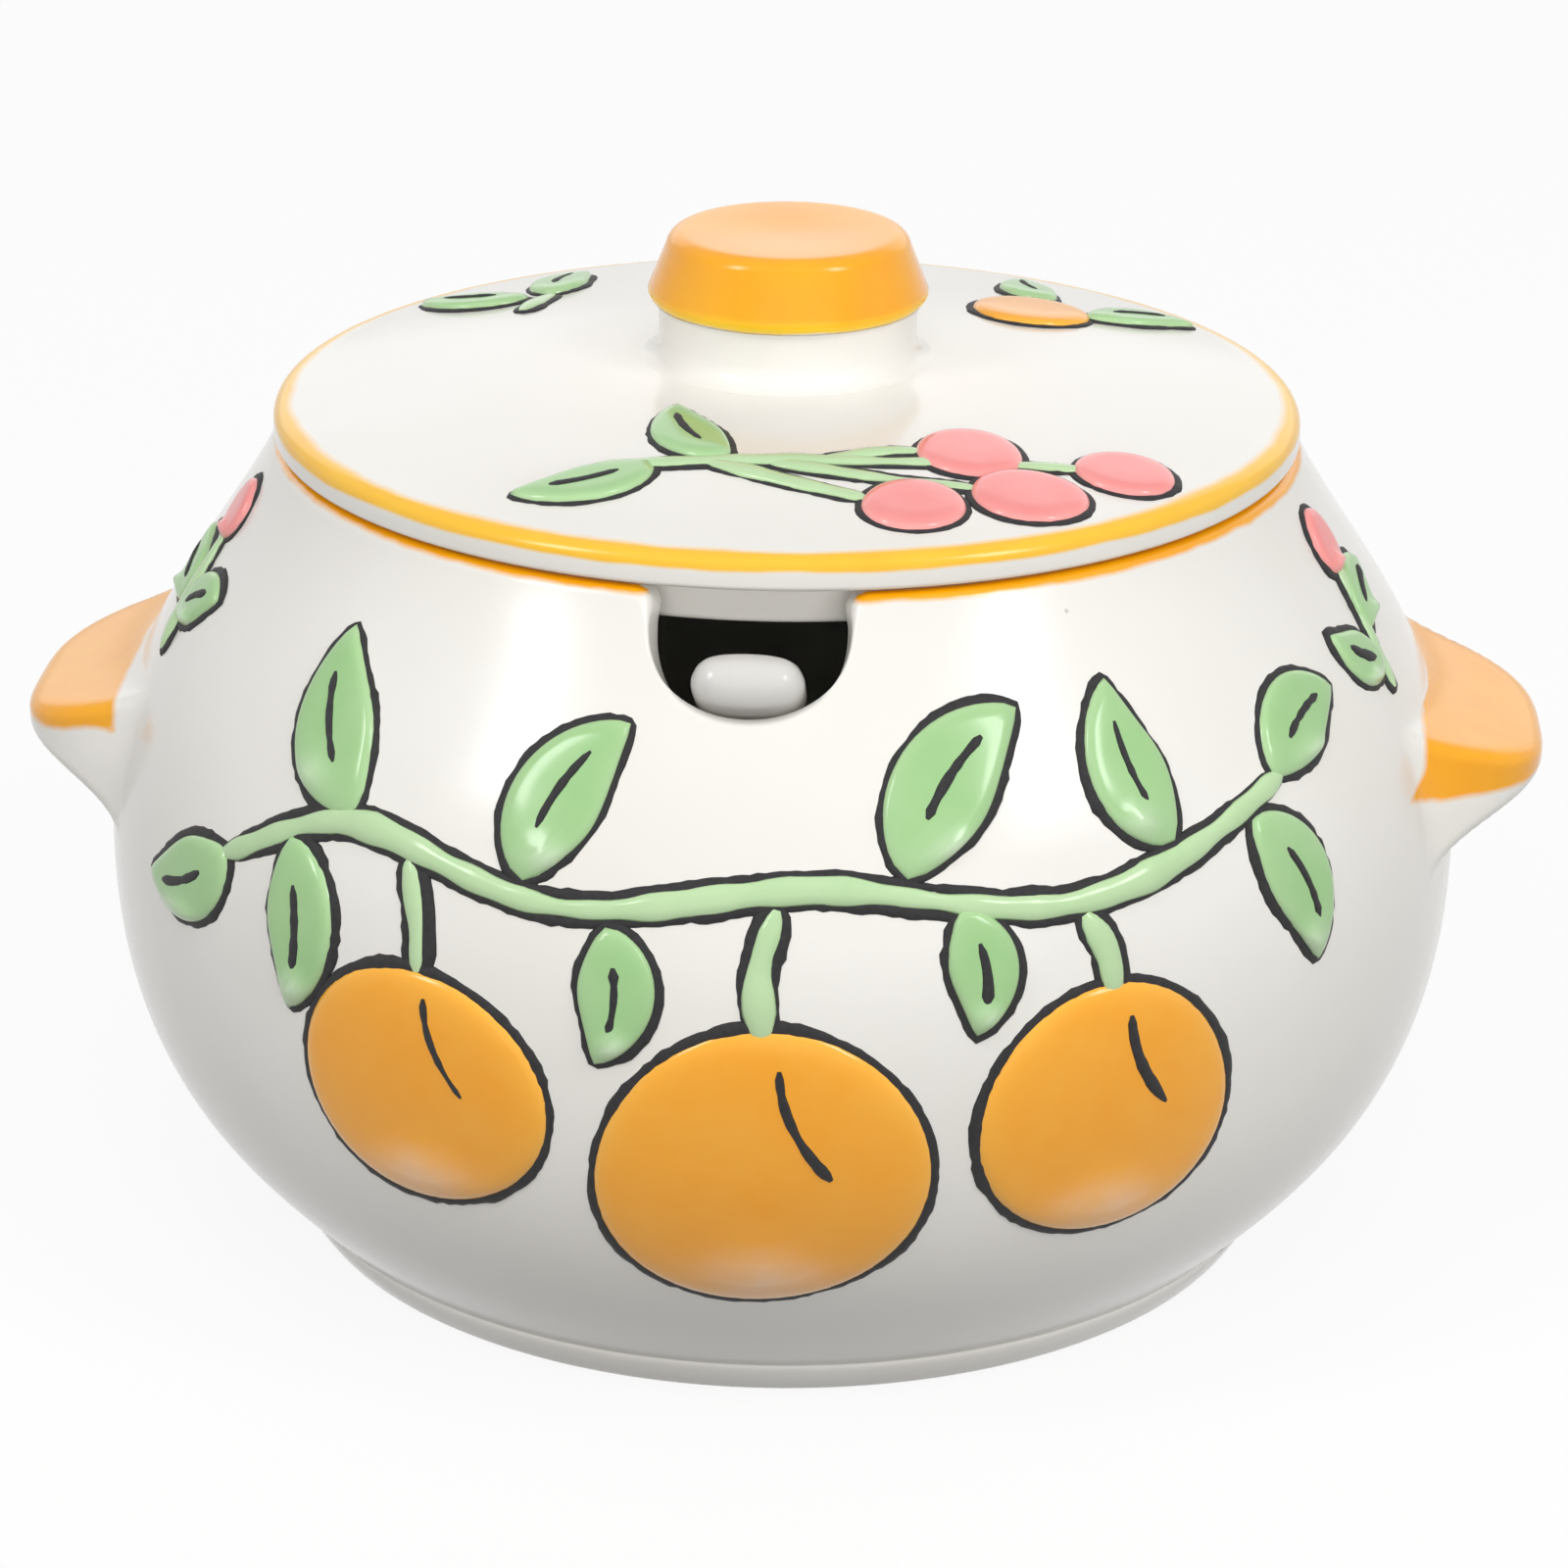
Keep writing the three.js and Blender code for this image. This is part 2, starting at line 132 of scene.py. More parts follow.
corners = [(-half, -half, 0), (half, -half, 0), (half, half, 0), (-half, half, 0)]
floor = mesh_piece("paper_floor", corners, [(0, 1, 2, 3)], paper)

world = bpy.data.worlds.new("studio")
bpy.context.scene.world = world
world.use_nodes = True
tree = world.node_tree
tree.nodes.clear()
WORLD_FILL = 0.18
fill = add(tree, "ShaderNodeBackground", {"Color": linear("#f3f4f6"), "Strength": WORLD_FILL})
white = add(tree, "ShaderNodeBackground", {"Color": (1, 1, 1, 1), "Strength": 1.0})
mixed = add(tree, "ShaderNodeMixShader", {0: in_sight(tree), 1: fill.outputs[0], 2: white.outputs[0]})
add(tree, "ShaderNodeOutputWorld", {"Surface": mixed.outputs[0]})


# A soft box that faces the pot, by its degrees around from the front and above it, metres and watts
def soft_box(name, azimuth, elevation, distance, width, height, power):
    lamp = bpy.data.lights.new(name, "AREA")
    lamp.shape = "RECTANGLE"
    lamp.size = width
    lamp.size_y = height
    lamp.energy = power
    box = put(name, lamp)
    a = math.radians(azimuth)
    e = math.radians(elevation)
    toward = Vector((math.sin(a) * math.cos(e), -math.cos(a) * math.cos(e), math.sin(e)))
    box.location = TARGET + distance * toward
    box.rotation_euler = toward.to_track_quat("Z", "Y").to_euler()
    return box


for side, azimuth, power in (("left", -52, 1.12), ("right", 55, 1.15)):
    soft_box("soft_box_" + side, azimuth, 40, 1.0, 0.17, 0.34, power)
    soft_box("soft_box_veil_" + side, azimuth, 39, 1.02, 0.34, 0.45, 0.5 * power)
for name, *placed in (
        ("front", 12, 11, 1.2, 1.5, 0.5, 6.2), ("top", 0, 76, 1.1, 1.2, 0.9, 3.2),
        ("high", 6, 50, 1.2, 1.4, 0.4, 3.2), ("rear", 178, 12, 1.2, 1.5, 0.5, 3.4),
        ("low_left", -76, 5, 1.2, 0.8, 0.5, 2.0), ("low_right", 80, 5, 1.2, 0.8, 0.5, 2.3)):
    soft_box("soft_box_" + name, *placed).visible_glossy = False
soft_box("soft_box_back", 180, 24, 1.2, 1.9, 0.62, 2.1)

bpy.context.scene.view_settings.view_transform = "Standard"


# Pot: a round slip-cast pot on a foot ring, of pale fired clay under a glossy warm white glaze. Its two lugs
# are pressed apart, luted on with slip and brushed orange, as is the rim. A round-bottomed notch is cut in
# the rim for the spoon.
FOOT_RADIUS = 41.6
FOOT_STEP = 1.5
FOOT_HEIGHT = 3.15
FLARE_ANGLE = math.radians(45)
BELLY = np.array((57.5, 34.5))
RIM_RADIUS = 43.2
RIM_HEIGHT = 69.1
RIM_ROUND = 1.3
SHOULDER_ANGLE = math.radians(26.8)
WALL = 3.6
FLOOR_EDGE = np.array((36.0, 6.0))
SHOULDER_TENSION = 0.34
BELLY_TENSION_ABOVE = 0.49
BELLY_TENSION_BELOW = 0.57
FLARE_TENSION = 0.29
FLOOR_TENSION = 0.35
NOTCH_HALF = 8.2
NOTCH_DEPTH = 8.6
NOTCH_CORNER = 1.5
NOTCH_ROUND = 0.35
NOTCH_PUSH = 4.0
EDGE_ROWS = 7


def bezier(a, b, c, d, steps):
    t = np.linspace(0, 1, steps)[:, None]
    return (1 - t) ** 3 * a + 3 * (1 - t) ** 2 * t * b + 3 * (1 - t) * t ** 2 * c + t ** 3 * d


def heading(angle):
    return np.array((math.sin(angle), math.cos(angle)))


def smooth_step(t):
    t = np.clip(t, 0, 1)
    return t * t * (3 - 2 * t)


def smooth_max(a, b, width):
    overlap = np.maximum(width - np.abs(a - b), 0) / width
    return np.maximum(a, b) + overlap ** 2 * width / 4


# The outside in section, as radius and height, from a little above the rim down to the foot
flare_start = np.array((FOOT_RADIUS + FOOT_STEP, FOOT_HEIGHT))
rim_edge = np.array((RIM_RADIUS, RIM_HEIGHT - RIM_ROUND * (1 - math.sin(SHOULDER_ANGLE))))
lower_rise = BELLY[1] - FOOT_HEIGHT
upper_rise = rim_edge[1] - BELLY[1]
up = np.array((0.0, 1.0))
shoulder = bezier(rim_edge, rim_edge - SHOULDER_TENSION * upper_rise * heading(-SHOULDER_ANGLE),
                  BELLY + BELLY_TENSION_ABOVE * upper_rise * up, BELLY, 500)
flank = bezier(BELLY, BELLY - BELLY_TENSION_BELOW * lower_rise * up,
               flare_start + FLARE_TENSION * lower_rise * heading(FLARE_ANGLE), flare_start, 500)
ABOVE_RIM = 4.0
lead = rim_edge + np.linspace(ABOVE_RIM, 0, 60)[:, None] * heading(-SHOULDER_ANGLE)
section = np.concatenate([lead[:-1], shoulder[:-1], flank])
run = np.concatenate([[0], np.cumsum(np.hypot(*np.diff(section, axis=0).T))])
run -= np.interp(-RIM_HEIGHT, -section[:, 1], run)
facing = np.gradient(section, run, axis=0) @ np.array(((0, 1), (-1, 0)))
facing /= np.hypot(*facing.T)[:, None]


def outside_at(v):
    point = [np.interp(v, run, section[:, k]) for k in (0, 1)]
    normal = [np.interp(v, run, facing[:, k]) for k in (0, 1)]
    return np.stack(point, -1), np.stack(normal, -1)


def run_at(height):
    return np.interp(-height, -section[:, 1], run)


# The rim's path around the mouth, as distance around and depth below the rim, with the notch in it
MOUTH_RADIUS = 45.4
ZONE_HALF = 30.0
ZONE_COLUMNS = 52
FAR_COLUMNS = 352
lip = run_at(RIM_HEIGHT - NOTCH_DEPTH)
bend = np.linspace(0, math.pi / 2, 200)
bottom = np.stack([NOTCH_HALF * np.sin(bend), lip - NOTCH_HALF + NOTCH_HALF * np.cos(bend)], 1)
corner = np.stack([NOTCH_HALF + NOTCH_CORNER * (1 - np.cos(bend)), NOTCH_CORNER * (1 - np.sin(bend))], 1)
path = np.concatenate([bottom, corner, [(ZONE_HALF, 0)]])
length = np.concatenate([[0], np.cumsum(np.hypot(*np.diff(path, axis=0).T))])
steps = np.linspace(0, length[-1], ZONE_COLUMNS)
half_path = np.stack([np.interp(steps, length, path[:, k]) for k in (0, 1)], 1)
half_foot = steps * ZONE_HALF / length[-1]
around = 2 * math.pi * MOUTH_RADIUS
far = np.linspace(ZONE_HALF, around - ZONE_HALF, FAR_COLUMNS + 1)[1:-1]
left_half = half_path[:0:-1] * (-1, 1)
q = np.concatenate([left_half[:, 0], half_path[:, 0], far])
depth = np.concatenate([left_half[:, 1], half_path[:, 1], 0 * far])
q_foot = np.concatenate([-half_foot[:0:-1], half_foot, far])
ahead = np.stack([np.roll(q, -1) - np.roll(q, 1), np.roll(depth, -1) - np.roll(depth, 1)], 1)
ahead[[0, -1]] = (1, 0)
ahead /= np.hypot(*ahead.T)[:, None]
away = np.stack([-ahead[:, 1], ahead[:, 0]], 1)
on_rim = 1 - smooth_step(depth / 3)
COLUMNS = len(q)


def in_space(q, rz):
    angle = q / MOUTH_RADIUS
    return np.stack([rz[..., 0] * np.sin(angle), -rz[..., 0] * np.cos(angle), rz[..., 1]], -1)


# Edges of the rim and the notch, rounded outside and inside
rz, normal = outside_at(depth)
edge = in_space(q, rz)
outward = in_space(q, normal)
sideways = np.stack([np.cos(q / MOUTH_RADIUS), np.sin(q / MOUTH_RADIUS), 0 * q], 1)
down = np.cross(outward, sideways)
down += on_rim[:, None] * (np.array((0, 0, -1)) - down)
land = -(away[:, :1] * sideways + away[:, 1:] * down)
land /= np.linalg.norm(land, axis=1)[:, None]
lean = np.sum(land * outward, 1)[:, None]
inward = lean * land - outward
inward /= np.linalg.norm(inward, axis=1)[:, None]
inner_edge = edge + inward * WALL / -np.sum(inward * outward, 1)[:, None]
edge_round = (NOTCH_ROUND + (RIM_ROUND - NOTCH_ROUND) * on_rim)[:, None]


def rounded(corner, wall_normal):
    cosine = np.sum(land * wall_normal, 1)[:, None]
    centre = corner - edge_round * (land + wall_normal) / (1 + cosine)
    sweep = np.arccos(np.clip(cosine, -1, 1))
    rows = []
    for t in np.linspace(0, 1, EDGE_ROWS):
        direction = (np.sin((1 - t) * sweep) * land + np.sin(t * sweep) * wall_normal) / np.sin(sweep)
        rows.append(centre + edge_round * direction)
    return rows, (edge_round * np.sqrt((1 - cosine) / (1 + cosine)))[:, 0]


outer_rows, outer_reach = rounded(edge, outward)
inner_rows, inner_reach = rounded(inner_edge, -outward)

# Rows below the edges: they bend out of the notch's path into level rings
LEVEL_HEIGHT = 51.5
level_run = run_at(LEVEL_HEIGHT)
lift = WALL * (lean / np.sqrt(1 - lean ** 2))[:, 0]
bent = np.array((0.006, 0.015, 0.03, 0.075, 0.13, 0.2, 0.28, 0.37, 0.46, 0.56, 0.66, 0.76, 0.88, 1.0))


def bent_rows(start_depth, reach):
    start = np.stack([q, start_depth], 1) + away * reach[:, None]
    rows = []
    for t in bent:
        straight = start + t * (np.stack([q_foot, 0 * q + level_run], 1) - start)
        push = NOTCH_PUSH * t * (1 - t) ** 3 * away * smooth_step(depth / lip)[:, None]
        rows.append(straight + push)
    return rows


shell = list(outer_rows)
for row in bent_rows(depth, outer_reach):
    shell.append(in_space(row[:, 0], outside_at(row[:, 1])[0]))

# Lugs: a tongue with a full, rounded end, a flat top that falls outwards and a flat underside that slopes
# back, so that its side is tall at the pot
LUG_REACH = 64.6
LUG_HEIGHT = 44.0
LUG_EDGE = 1.25
LUG_HALF_WIDTH = 15.9
LUG_DEPTH = 23.0
LUG_SQUARENESS = 3.2
LUG_SIDE_SCALE = 18
LUG_ROUND = 1.0
LUG_TOP = math.radians(16.3)
LUG_UNDER = math.radians(22)
LUG_TOP_FILLET = 4.2
LUG_SIDE_FILLET = 6.0
LUG_SPREAD = math.radians(27)
INSIDE_POT, BEYOND_LUG, HALVINGS = 40.0, 70.0, 26


def rounded_corner(a, b, size):
    return np.minimum(np.maximum(a, b), -size) + np.hypot(np.maximum(a + size, 0), np.maximum(b + size, 0))


def lug_field(x, y, z):
    out = np.maximum((x - LUG_REACH + LUG_DEPTH) / LUG_DEPTH, 0)
    across = np.abs(y) / LUG_HALF_WIDTH
    side = LUG_SIDE_SCALE * ((out ** LUG_SQUARENESS + across ** LUG_SQUARENESS) ** (1 / LUG_SQUARENESS) - 1)
    top = (x - LUG_REACH) * math.sin(LUG_TOP) + (z - LUG_HEIGHT - LUG_EDGE) * math.cos(LUG_TOP)
    under = (x - LUG_REACH) * math.sin(LUG_UNDER) - (z - LUG_HEIGHT + LUG_EDGE) * math.cos(LUG_UNDER)
    return rounded_corner(rounded_corner(top, side, LUG_ROUND), under, LUG_ROUND)


def lug_radius(angle, z):
    low = np.full(angle.shape, INSIDE_POT)
    high = np.full(angle.shape, BEYOND_LUG)
    for _ in range(HALVINGS):
        middle = (low + high) / 2
        inside = lug_field(middle * np.cos(angle), middle * np.sin(angle), z) < 0
        low = np.where(inside, middle, low)
        high = np.where(inside, high, middle)
    return low


# Level rings from below the notch to the foot. Beside a lug their points keep an even step along the ring.
# Each point's paint is its depth in the painted part of a lug: the right one is painted in to its root and
# a little beyond, the left one stops short of it.
UNPAINTED = -9.0
PAINT_LOW = 43.3
PAINT_CREASE = 47.4
PAINT_SIDE = 53.8
PAINT_BEYOND_LUG = 3.2
PAINT_EDGE_CURVE = 0.36
PAINT_SOFTNESS = 0.65
CREASE_RADIUS = 55.9
LEFT_OVER_CREASE = 0.7
LEFT_LIFT, LEFT_CLIMB = 0.9, 1.4
LUG_ABOVE, LUG_BELOW = 49.9, 34.9
heights = np.concatenate([
    np.linspace(LEVEL_HEIGHT, LUG_ABOVE, 4)[1:], np.linspace(LUG_ABOVE, LUG_BELOW, 66)[1:],
    np.linspace(LUG_BELOW, FOOT_HEIGHT, 30)[1:]])
angle = q_foot / MOUTH_RADIUS - math.pi / 2
paint = [np.full(COLUMNS, UNPAINTED) for _ in shell]
for height in heights:
    body = outside_at(run_at(height))[0][0]
    fillet = LUG_SIDE_FILLET + (LUG_TOP_FILLET - LUG_SIDE_FILLET) * smooth_step((height - 42) / 6)
    row_angle = angle.copy()
    radius = np.full(COLUMNS, body)
    depth_in_paint = np.full(COLUMNS, UNPAINTED)
    for side in (0, math.pi):
        from_lug = (angle - side + math.pi) % (2 * math.pi) - math.pi
        beside_lug = np.flatnonzero(np.abs(from_lug) < LUG_SPREAD)
        beside_lug = beside_lug[np.argsort(from_lug[beside_lug])]
        fine = np.linspace(from_lug[beside_lug[0]], from_lug[beside_lug[-1]], 1600)
        lug = lug_radius(fine, height)
        ring = smooth_max(body, lug, fillet)
        flat = np.stack([ring * np.cos(fine), ring * np.sin(fine)])
        length = np.concatenate([[0], np.cumsum(np.hypot(*np.diff(flat)))])
        even = np.interp(np.linspace(0, length[-1], len(beside_lug)), length, fine)
        radius[beside_lug] = np.interp(even, fine, ring)
        row_angle[beside_lug] = side + even
        x, y = radius[beside_lug] * (np.cos(even), np.sin(even))
        if side:
            inward = x + LEFT_OVER_CREASE - np.sqrt(CREASE_RADIUS ** 2 - np.minimum(y, 0) ** 2)
            lowest = PAINT_LOW + LEFT_LIFT + LEFT_CLIMB * smooth_step((LUG_REACH - 1 - x) / 8)
        else:
            on_lug = np.maximum(np.interp(even, fine, lug) - body + PAINT_BEYOND_LUG, PAINT_CREASE - height)
            curve = PAINT_EDGE_CURVE * max(PAINT_CREASE - 0.9 - height, 0) ** 2
            inward = np.minimum(x - PAINT_SIDE + curve, on_lug)
            lowest = PAINT_LOW + 0.3 * np.maximum(np.abs(y) - 15, 0)
        depth_in_paint[beside_lug] = PAINT_SOFTNESS * np.minimum(inward, height - lowest)
    ring = np.stack([radius, np.full(COLUMNS, height)], 1)
    shell.append(in_space((row_angle + math.pi / 2) * MOUTH_RADIUS, ring))
    paint.append(depth_in_paint)

# Foot: a groove under the flare, a slightly full ring to stand on and a shallow recess
UNDERSIDE = 1.5
foot = [(43.0, 3.06), (42.9, 2.98), (42.86, 2.9), (42.92, 2.8), (42.94, 2.65), (42.85, 2.3), (42.55, 1.6),
        (42.1, 0.9), (41.8, 0.5), (41.6, 0.26), (41.35, 0.08), (41.05, 0), (37.2, 0), (36.9, 0.03),
        (36.6, 0.18), (35.3, 1.35), (35.0, 1.48)] + [(r, UNDERSIDE) for r in (34.6, 24, 12, 4)]
for ring in foot:
    shell.append(in_space(q_foot, np.broadcast_to(ring, (COLUMNS, 2))))
    paint.append(np.full(COLUMNS, UNPAINTED))

# Inside: the wall's own thickness down to the belly, then a rounded floor
inside = list(inner_rows)
for row in bent_rows(depth - lift, inner_reach):
    rz, normal = outside_at(row[:, 1])
    inside.append(in_space(row[:, 0], rz - WALL * normal))
for v in np.linspace(level_run, run_at(BELLY[1]), 10)[1:-1]:
    rz, normal = outside_at(v)
    inside.append(in_space(q_foot, np.broadcast_to(rz - WALL * normal, (COLUMNS, 2))))
belly_inside = BELLY - (WALL, 0)
inner_rise = BELLY[1] - FLOOR_EDGE[1]
floor_curve = bezier(belly_inside, belly_inside - BELLY_TENSION_BELOW * inner_rise * up,
                     FLOOR_EDGE + np.array((FLOOR_TENSION * inner_rise, 0)), FLOOR_EDGE, 18)
FLOOR_MIDDLE = 5.85
for ring in [*floor_curve, (24, 5.9), (12, FLOOR_MIDDLE), (4, FLOOR_MIDDLE)]:
    inside.append(in_space(q_foot, np.broadcast_to(ring, (COLUMNS, 2))))
paint = [np.full(COLUMNS, UNPAINTED) for _ in inside] + paint
shell = inside[::-1] + shell

# Painted band on the outer edge of the rim, broader on the right, which ends at the notch
RIM_BAND = 0.6
RIM_BAND_SWAY = 0.25
BAND_INTO_NOTCH = 1.6
beside_notch = np.minimum(np.abs(q), around - np.abs(q)) - NOTCH_HALF - NOTCH_CORNER
first_outer = len(inside)
for k in range(len(outer_rows) + len(bent)):
    below = (RIM_HEIGHT - shell[first_outer + k][:, 2]) / math.cos(SHOULDER_ANGLE)
    band = RIM_BAND + RIM_BAND_SWAY * np.sin(q / MOUTH_RADIUS) - below
    paint[first_outer + k] = np.minimum(band, beside_notch + BAND_INTO_NOTCH)

rows = len(shell)
points = np.concatenate([*shell, [(0, 0, FLOOR_MIDDLE), (0, 0, UNDERSIDE)]])
faces = []
for j in range(rows - 1):
    a = j * COLUMNS + np.arange(COLUMNS)
    b = j * COLUMNS + (np.arange(COLUMNS) + 1) % COLUMNS
    faces += np.stack([a, a + COLUMNS, b + COLUMNS, b], 1).tolist()
inner_pole = rows * COLUMNS
last = (rows - 1) * COLUMNS
for i in range(COLUMNS):
    k = (i + 1) % COLUMNS
    faces.append((inner_pole, i, k))
    faces.append((inner_pole + 1, last + k, last + i))

# Glossy tin-white glaze over pale clay: clear reflections that waver a little where the glaze ran, a warm
# white that varies by a hair, and rare dark specks of iron. Brushed orange glaze has a ragged edge and
# goes deeper in colour where it lies thick. The standing face is wiped to bare, dry clay.
CLOUD_WIDTH = 22.0
SPECK_SPACING = 16.0
SPECK_SIZE = 0.17
GLAZE_RIPPLE = 9.0
POOLED_PATCH = 6.0
BRUSH_DABS = 3.0


def new_glaze(name):
    made = new_material(name)
    return made, made.node_tree, add(made.node_tree, "ShaderNodeTexCoord").outputs["Object"]


def glaze_colour(tree, place, dull="#ece8e0", pale="#f5f3ee"):
    cloud = add(tree, "ShaderNodeTexNoise", {"Vector": place, "Scale": 1 / (CLOUD_WIDTH * MM), "Detail": 2.0})
    tone = add(tree, "ShaderNodeMix", {0: cloud.outputs[0], 6: linear(dull), 7: linear(pale)},
               data_type="RGBA")
    specks = add(tree, "ShaderNodeTexVoronoi", {"Vector": place, "Scale": 1 / (SPECK_SPACING * MM)})
    speck = SPECK_SIZE / SPECK_SPACING
    near = add(tree, "ShaderNodeMapRange", {
        0: specks.outputs["Distance"], 1: 0.6 * speck, 2: 1.5 * speck, 3: 0.45, 4: 0.0})
    return add(tree, "ShaderNodeMix", {0: near.outputs[0], 6: tone.outputs[2], 7: linear("#6d655a")},
               data_type="RGBA")


def glaze_relief(tree, place, height=0.05):
    ripple = add(tree, "ShaderNodeTexNoise", {
        "Vector": place, "Scale": 1 / (GLAZE_RIPPLE * MM), "Detail": 1.0})
    return add(tree, "ShaderNodeBump", {
        "Height": ripple.outputs[0], "Strength": 1.0, "Distance": height * MM})


def fired(tree, colour, relief, roughness=0.16, ior=1.5):
    glaze = add(tree, "ShaderNodeBsdfPrincipled", {
        "Base Color": colour.outputs[2], "Roughness": roughness, "IOR": ior, "Normal": relief.outputs[0]})
    add(tree, "ShaderNodeOutputMaterial", {"Surface": glaze.outputs[0]})


def brushed_orange(tree, place, thin="#ffb600", thick="#fba200"):
    patches = add(tree, "ShaderNodeTexNoise", {
        "Vector": place, "Scale": 1 / (POOLED_PATCH * MM), "Detail": 3.0})
    return add(tree, "ShaderNodeMix", {0: patches.outputs[0], 6: linear(thick), 7: linear(thin)},
               data_type="RGBA")


pot_glaze, tree, place = new_glaze("white_glaze_with_brushed_orange")
white_part = glaze_colour(tree, place)
orange_part = brushed_orange(tree, place)
painted = add(tree, "ShaderNodeAttribute", attribute_name="paint")
dabs = add(tree, "ShaderNodeTexNoise", {"Vector": place, "Scale": 1 / (BRUSH_DABS * MM), "Detail": 4.0})
ragged = add(tree, "ShaderNodeMath", {0: dabs.outputs[0], 1: 0.45, 2: painted.outputs["Fac"]},
             operation="MULTIPLY_ADD")
cover = add(tree, "ShaderNodeMapRange", {0: ragged.outputs[0], 1: 0.05, 2: 0.45})
colour = add(tree, "ShaderNodeMix", {
    0: cover.outputs[0], 6: white_part.outputs[2], 7: orange_part.outputs[2]}, data_type="RGBA")
spot = add(tree, "ShaderNodeSeparateXYZ", {0: place})
wiped = add(tree, "ShaderNodeMapRange", {0: spot.outputs[2], 1: 0.08 * MM, 2: 0.14 * MM, 3: 1.0, 4: 0.0})
colour = add(tree, "ShaderNodeMix", {0: wiped.outputs[0], 6: colour.outputs[2], 7: linear("#d6c6b0")},
             data_type="RGBA")
dryness = add(tree, "ShaderNodeMapRange", {0: wiped.outputs[0], 3: 0.16, 4: 0.8})
fired(tree, colour, glaze_relief(tree, place), dryness.outputs[0])


def keep(mesh, label, values):
    layer = mesh.attributes.new(label, "FLOAT", "POINT")
    layer.data.foreach_set("value", np.array(values, np.float32))


pot_shell = mesh_piece("pot_shell", points * MM, faces, pot_glaze)
keep(pot_shell.data, "paint", np.concatenate([*paint, [UNPAINTED, UNPAINTED]]))
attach(pot_shell, "pot")
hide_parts("pot_body", "lug_left", "lug_right")


# Raised decoration on the pot: a garland of round fruit and leaves. Each shape is a thick pool of coloured
# glaze inside a dark matte line, trailed on by hand. Shapes are drawn flat, in millimetres across and up
# from the middle of the belly, and a node tree lays them on the pot.
DRAWN_RADIUS = 55.0
LINE_HALF = 0.56
LINE_HEIGHT = 0.42
VEIN_HALF = 0.36
STALK_HALF = 1.0
STALK_LIFT = 0.15
POOL_HEIGHT = 0.75
SAG = 0.7
SAG_WIDTH, SAG_LOW, SAG_HEIGHT = 0.18, 0.15, 0.08


def new_tree(name, sockets):
    made = bpy.data.node_groups.new(name, "GeometryNodeTree")
    made.is_modifier = True
    made.interface.new_socket("Geometry", in_out="INPUT", socket_type="NodeSocketGeometry")
    for label, kind in sockets:
        made.interface.new_socket(label, in_out="INPUT", socket_type="NodeSocket" + kind)
    made.interface.new_socket("Geometry", in_out="OUTPUT", socket_type="NodeSocketGeometry")
    return made


def run_tree(piece, tree, values):
    modifier = piece.modifiers.new("shape", "NODES")
    modifier.node_group = tree
    for item in tree.interface.items_tree:
        if item.in_out == "INPUT" and item.name in values:
            modifier[item.identifier] = values[item.name]
    evaluated = piece.evaluated_get(bpy.context.evaluated_depsgraph_get())
    mesh = bpy.data.meshes.new_from_object(evaluated)
    piece.modifiers.clear()
    piece.data = mesh
    return piece


laying = new_tree("lay_on_turned_clay", [
    ("Profile", "Object"), ("Drawn Radius", "Float"), ("Start", "Float"), ("On Top", "Bool"),
    ("Lines", "Bool"), ("Line Height", "Float"), ("Glaze", "Material")])
given = add(laying, "NodeGroupInput").outputs
as_curve = add(laying, "GeometryNodeMeshToCurve", {"Mesh": given["Geometry"]})
upright = add(laying, "GeometryNodeSetCurveNormal", {"Curve": as_curve.outputs[0]}, mode="Z_UP")
round_line = add(laying, "GeometryNodeCurvePrimitiveCircle", {"Resolution": 10, "Radius": 1.0})
flat = add(laying, "ShaderNodeCombineXYZ", {0: 1.0, 1: given["Line Height"], 2: 1.0})
trail = add(laying, "GeometryNodeTransform", {"Geometry": round_line.outputs[0], "Scale": flat.outputs[0]})
half_width = add(laying, "GeometryNodeInputNamedAttribute", {"Name": "half_width"}, data_type="FLOAT")
lines = add(laying, "GeometryNodeCurveToMesh", {
    "Curve": upright.outputs[0], "Profile Curve": trail.outputs[0], "Scale": half_width.outputs[0],
    "Fill Caps": True})
shapes = add(laying, "GeometryNodeSwitch", {
    "Switch": given["Lines"], "False": given["Geometry"], "True": lines.outputs[0]}, input_type="GEOMETRY")
spot = add(laying, "ShaderNodeSeparateXYZ", {0: add(laying, "GeometryNodeInputPosition").outputs[0]})
wound = add(laying, "ShaderNodeMath", {0: spot.outputs[0], 1: given["Drawn Radius"]}, operation="DIVIDE")
sunk = add(laying, "ShaderNodeMath", {0: given["Start"], 1: spot.outputs[1]}, operation="SUBTRACT")
turned_back = add(laying, "ShaderNodeMath", {0: spot.outputs[1], 1: -1.0}, operation="MULTIPLY")
bearing = add(laying, "ShaderNodeMath", {0: spot.outputs[0], 1: turned_back.outputs[0]}, operation="ARCTAN2")
level_spot = add(laying, "ShaderNodeCombineXYZ", {0: spot.outputs[0], 1: spot.outputs[1]})
reach = add(laying, "ShaderNodeVectorMath", {0: level_spot.outputs[0]}, operation="LENGTH")
angle_at = add(laying, "GeometryNodeSwitch", {
    "Switch": given["On Top"], "False": wound.outputs[0], "True": bearing.outputs[0]}, input_type="FLOAT")
length_at = add(laying, "GeometryNodeSwitch", {
    "Switch": given["On Top"], "False": sunk.outputs[0], "True": reach.outputs["Value"]}, input_type="FLOAT")
profile = add(laying, "GeometryNodeObjectInfo", {"Object": given["Profile"]})
profile_curve = add(laying, "GeometryNodeMeshToCurve", {"Mesh": profile.outputs["Geometry"]})
along = add(laying, "GeometryNodeSampleCurve", {
    "Curves": profile_curve.outputs[0], "Length": length_at.outputs[0]}, mode="LENGTH", use_all_curves=True)
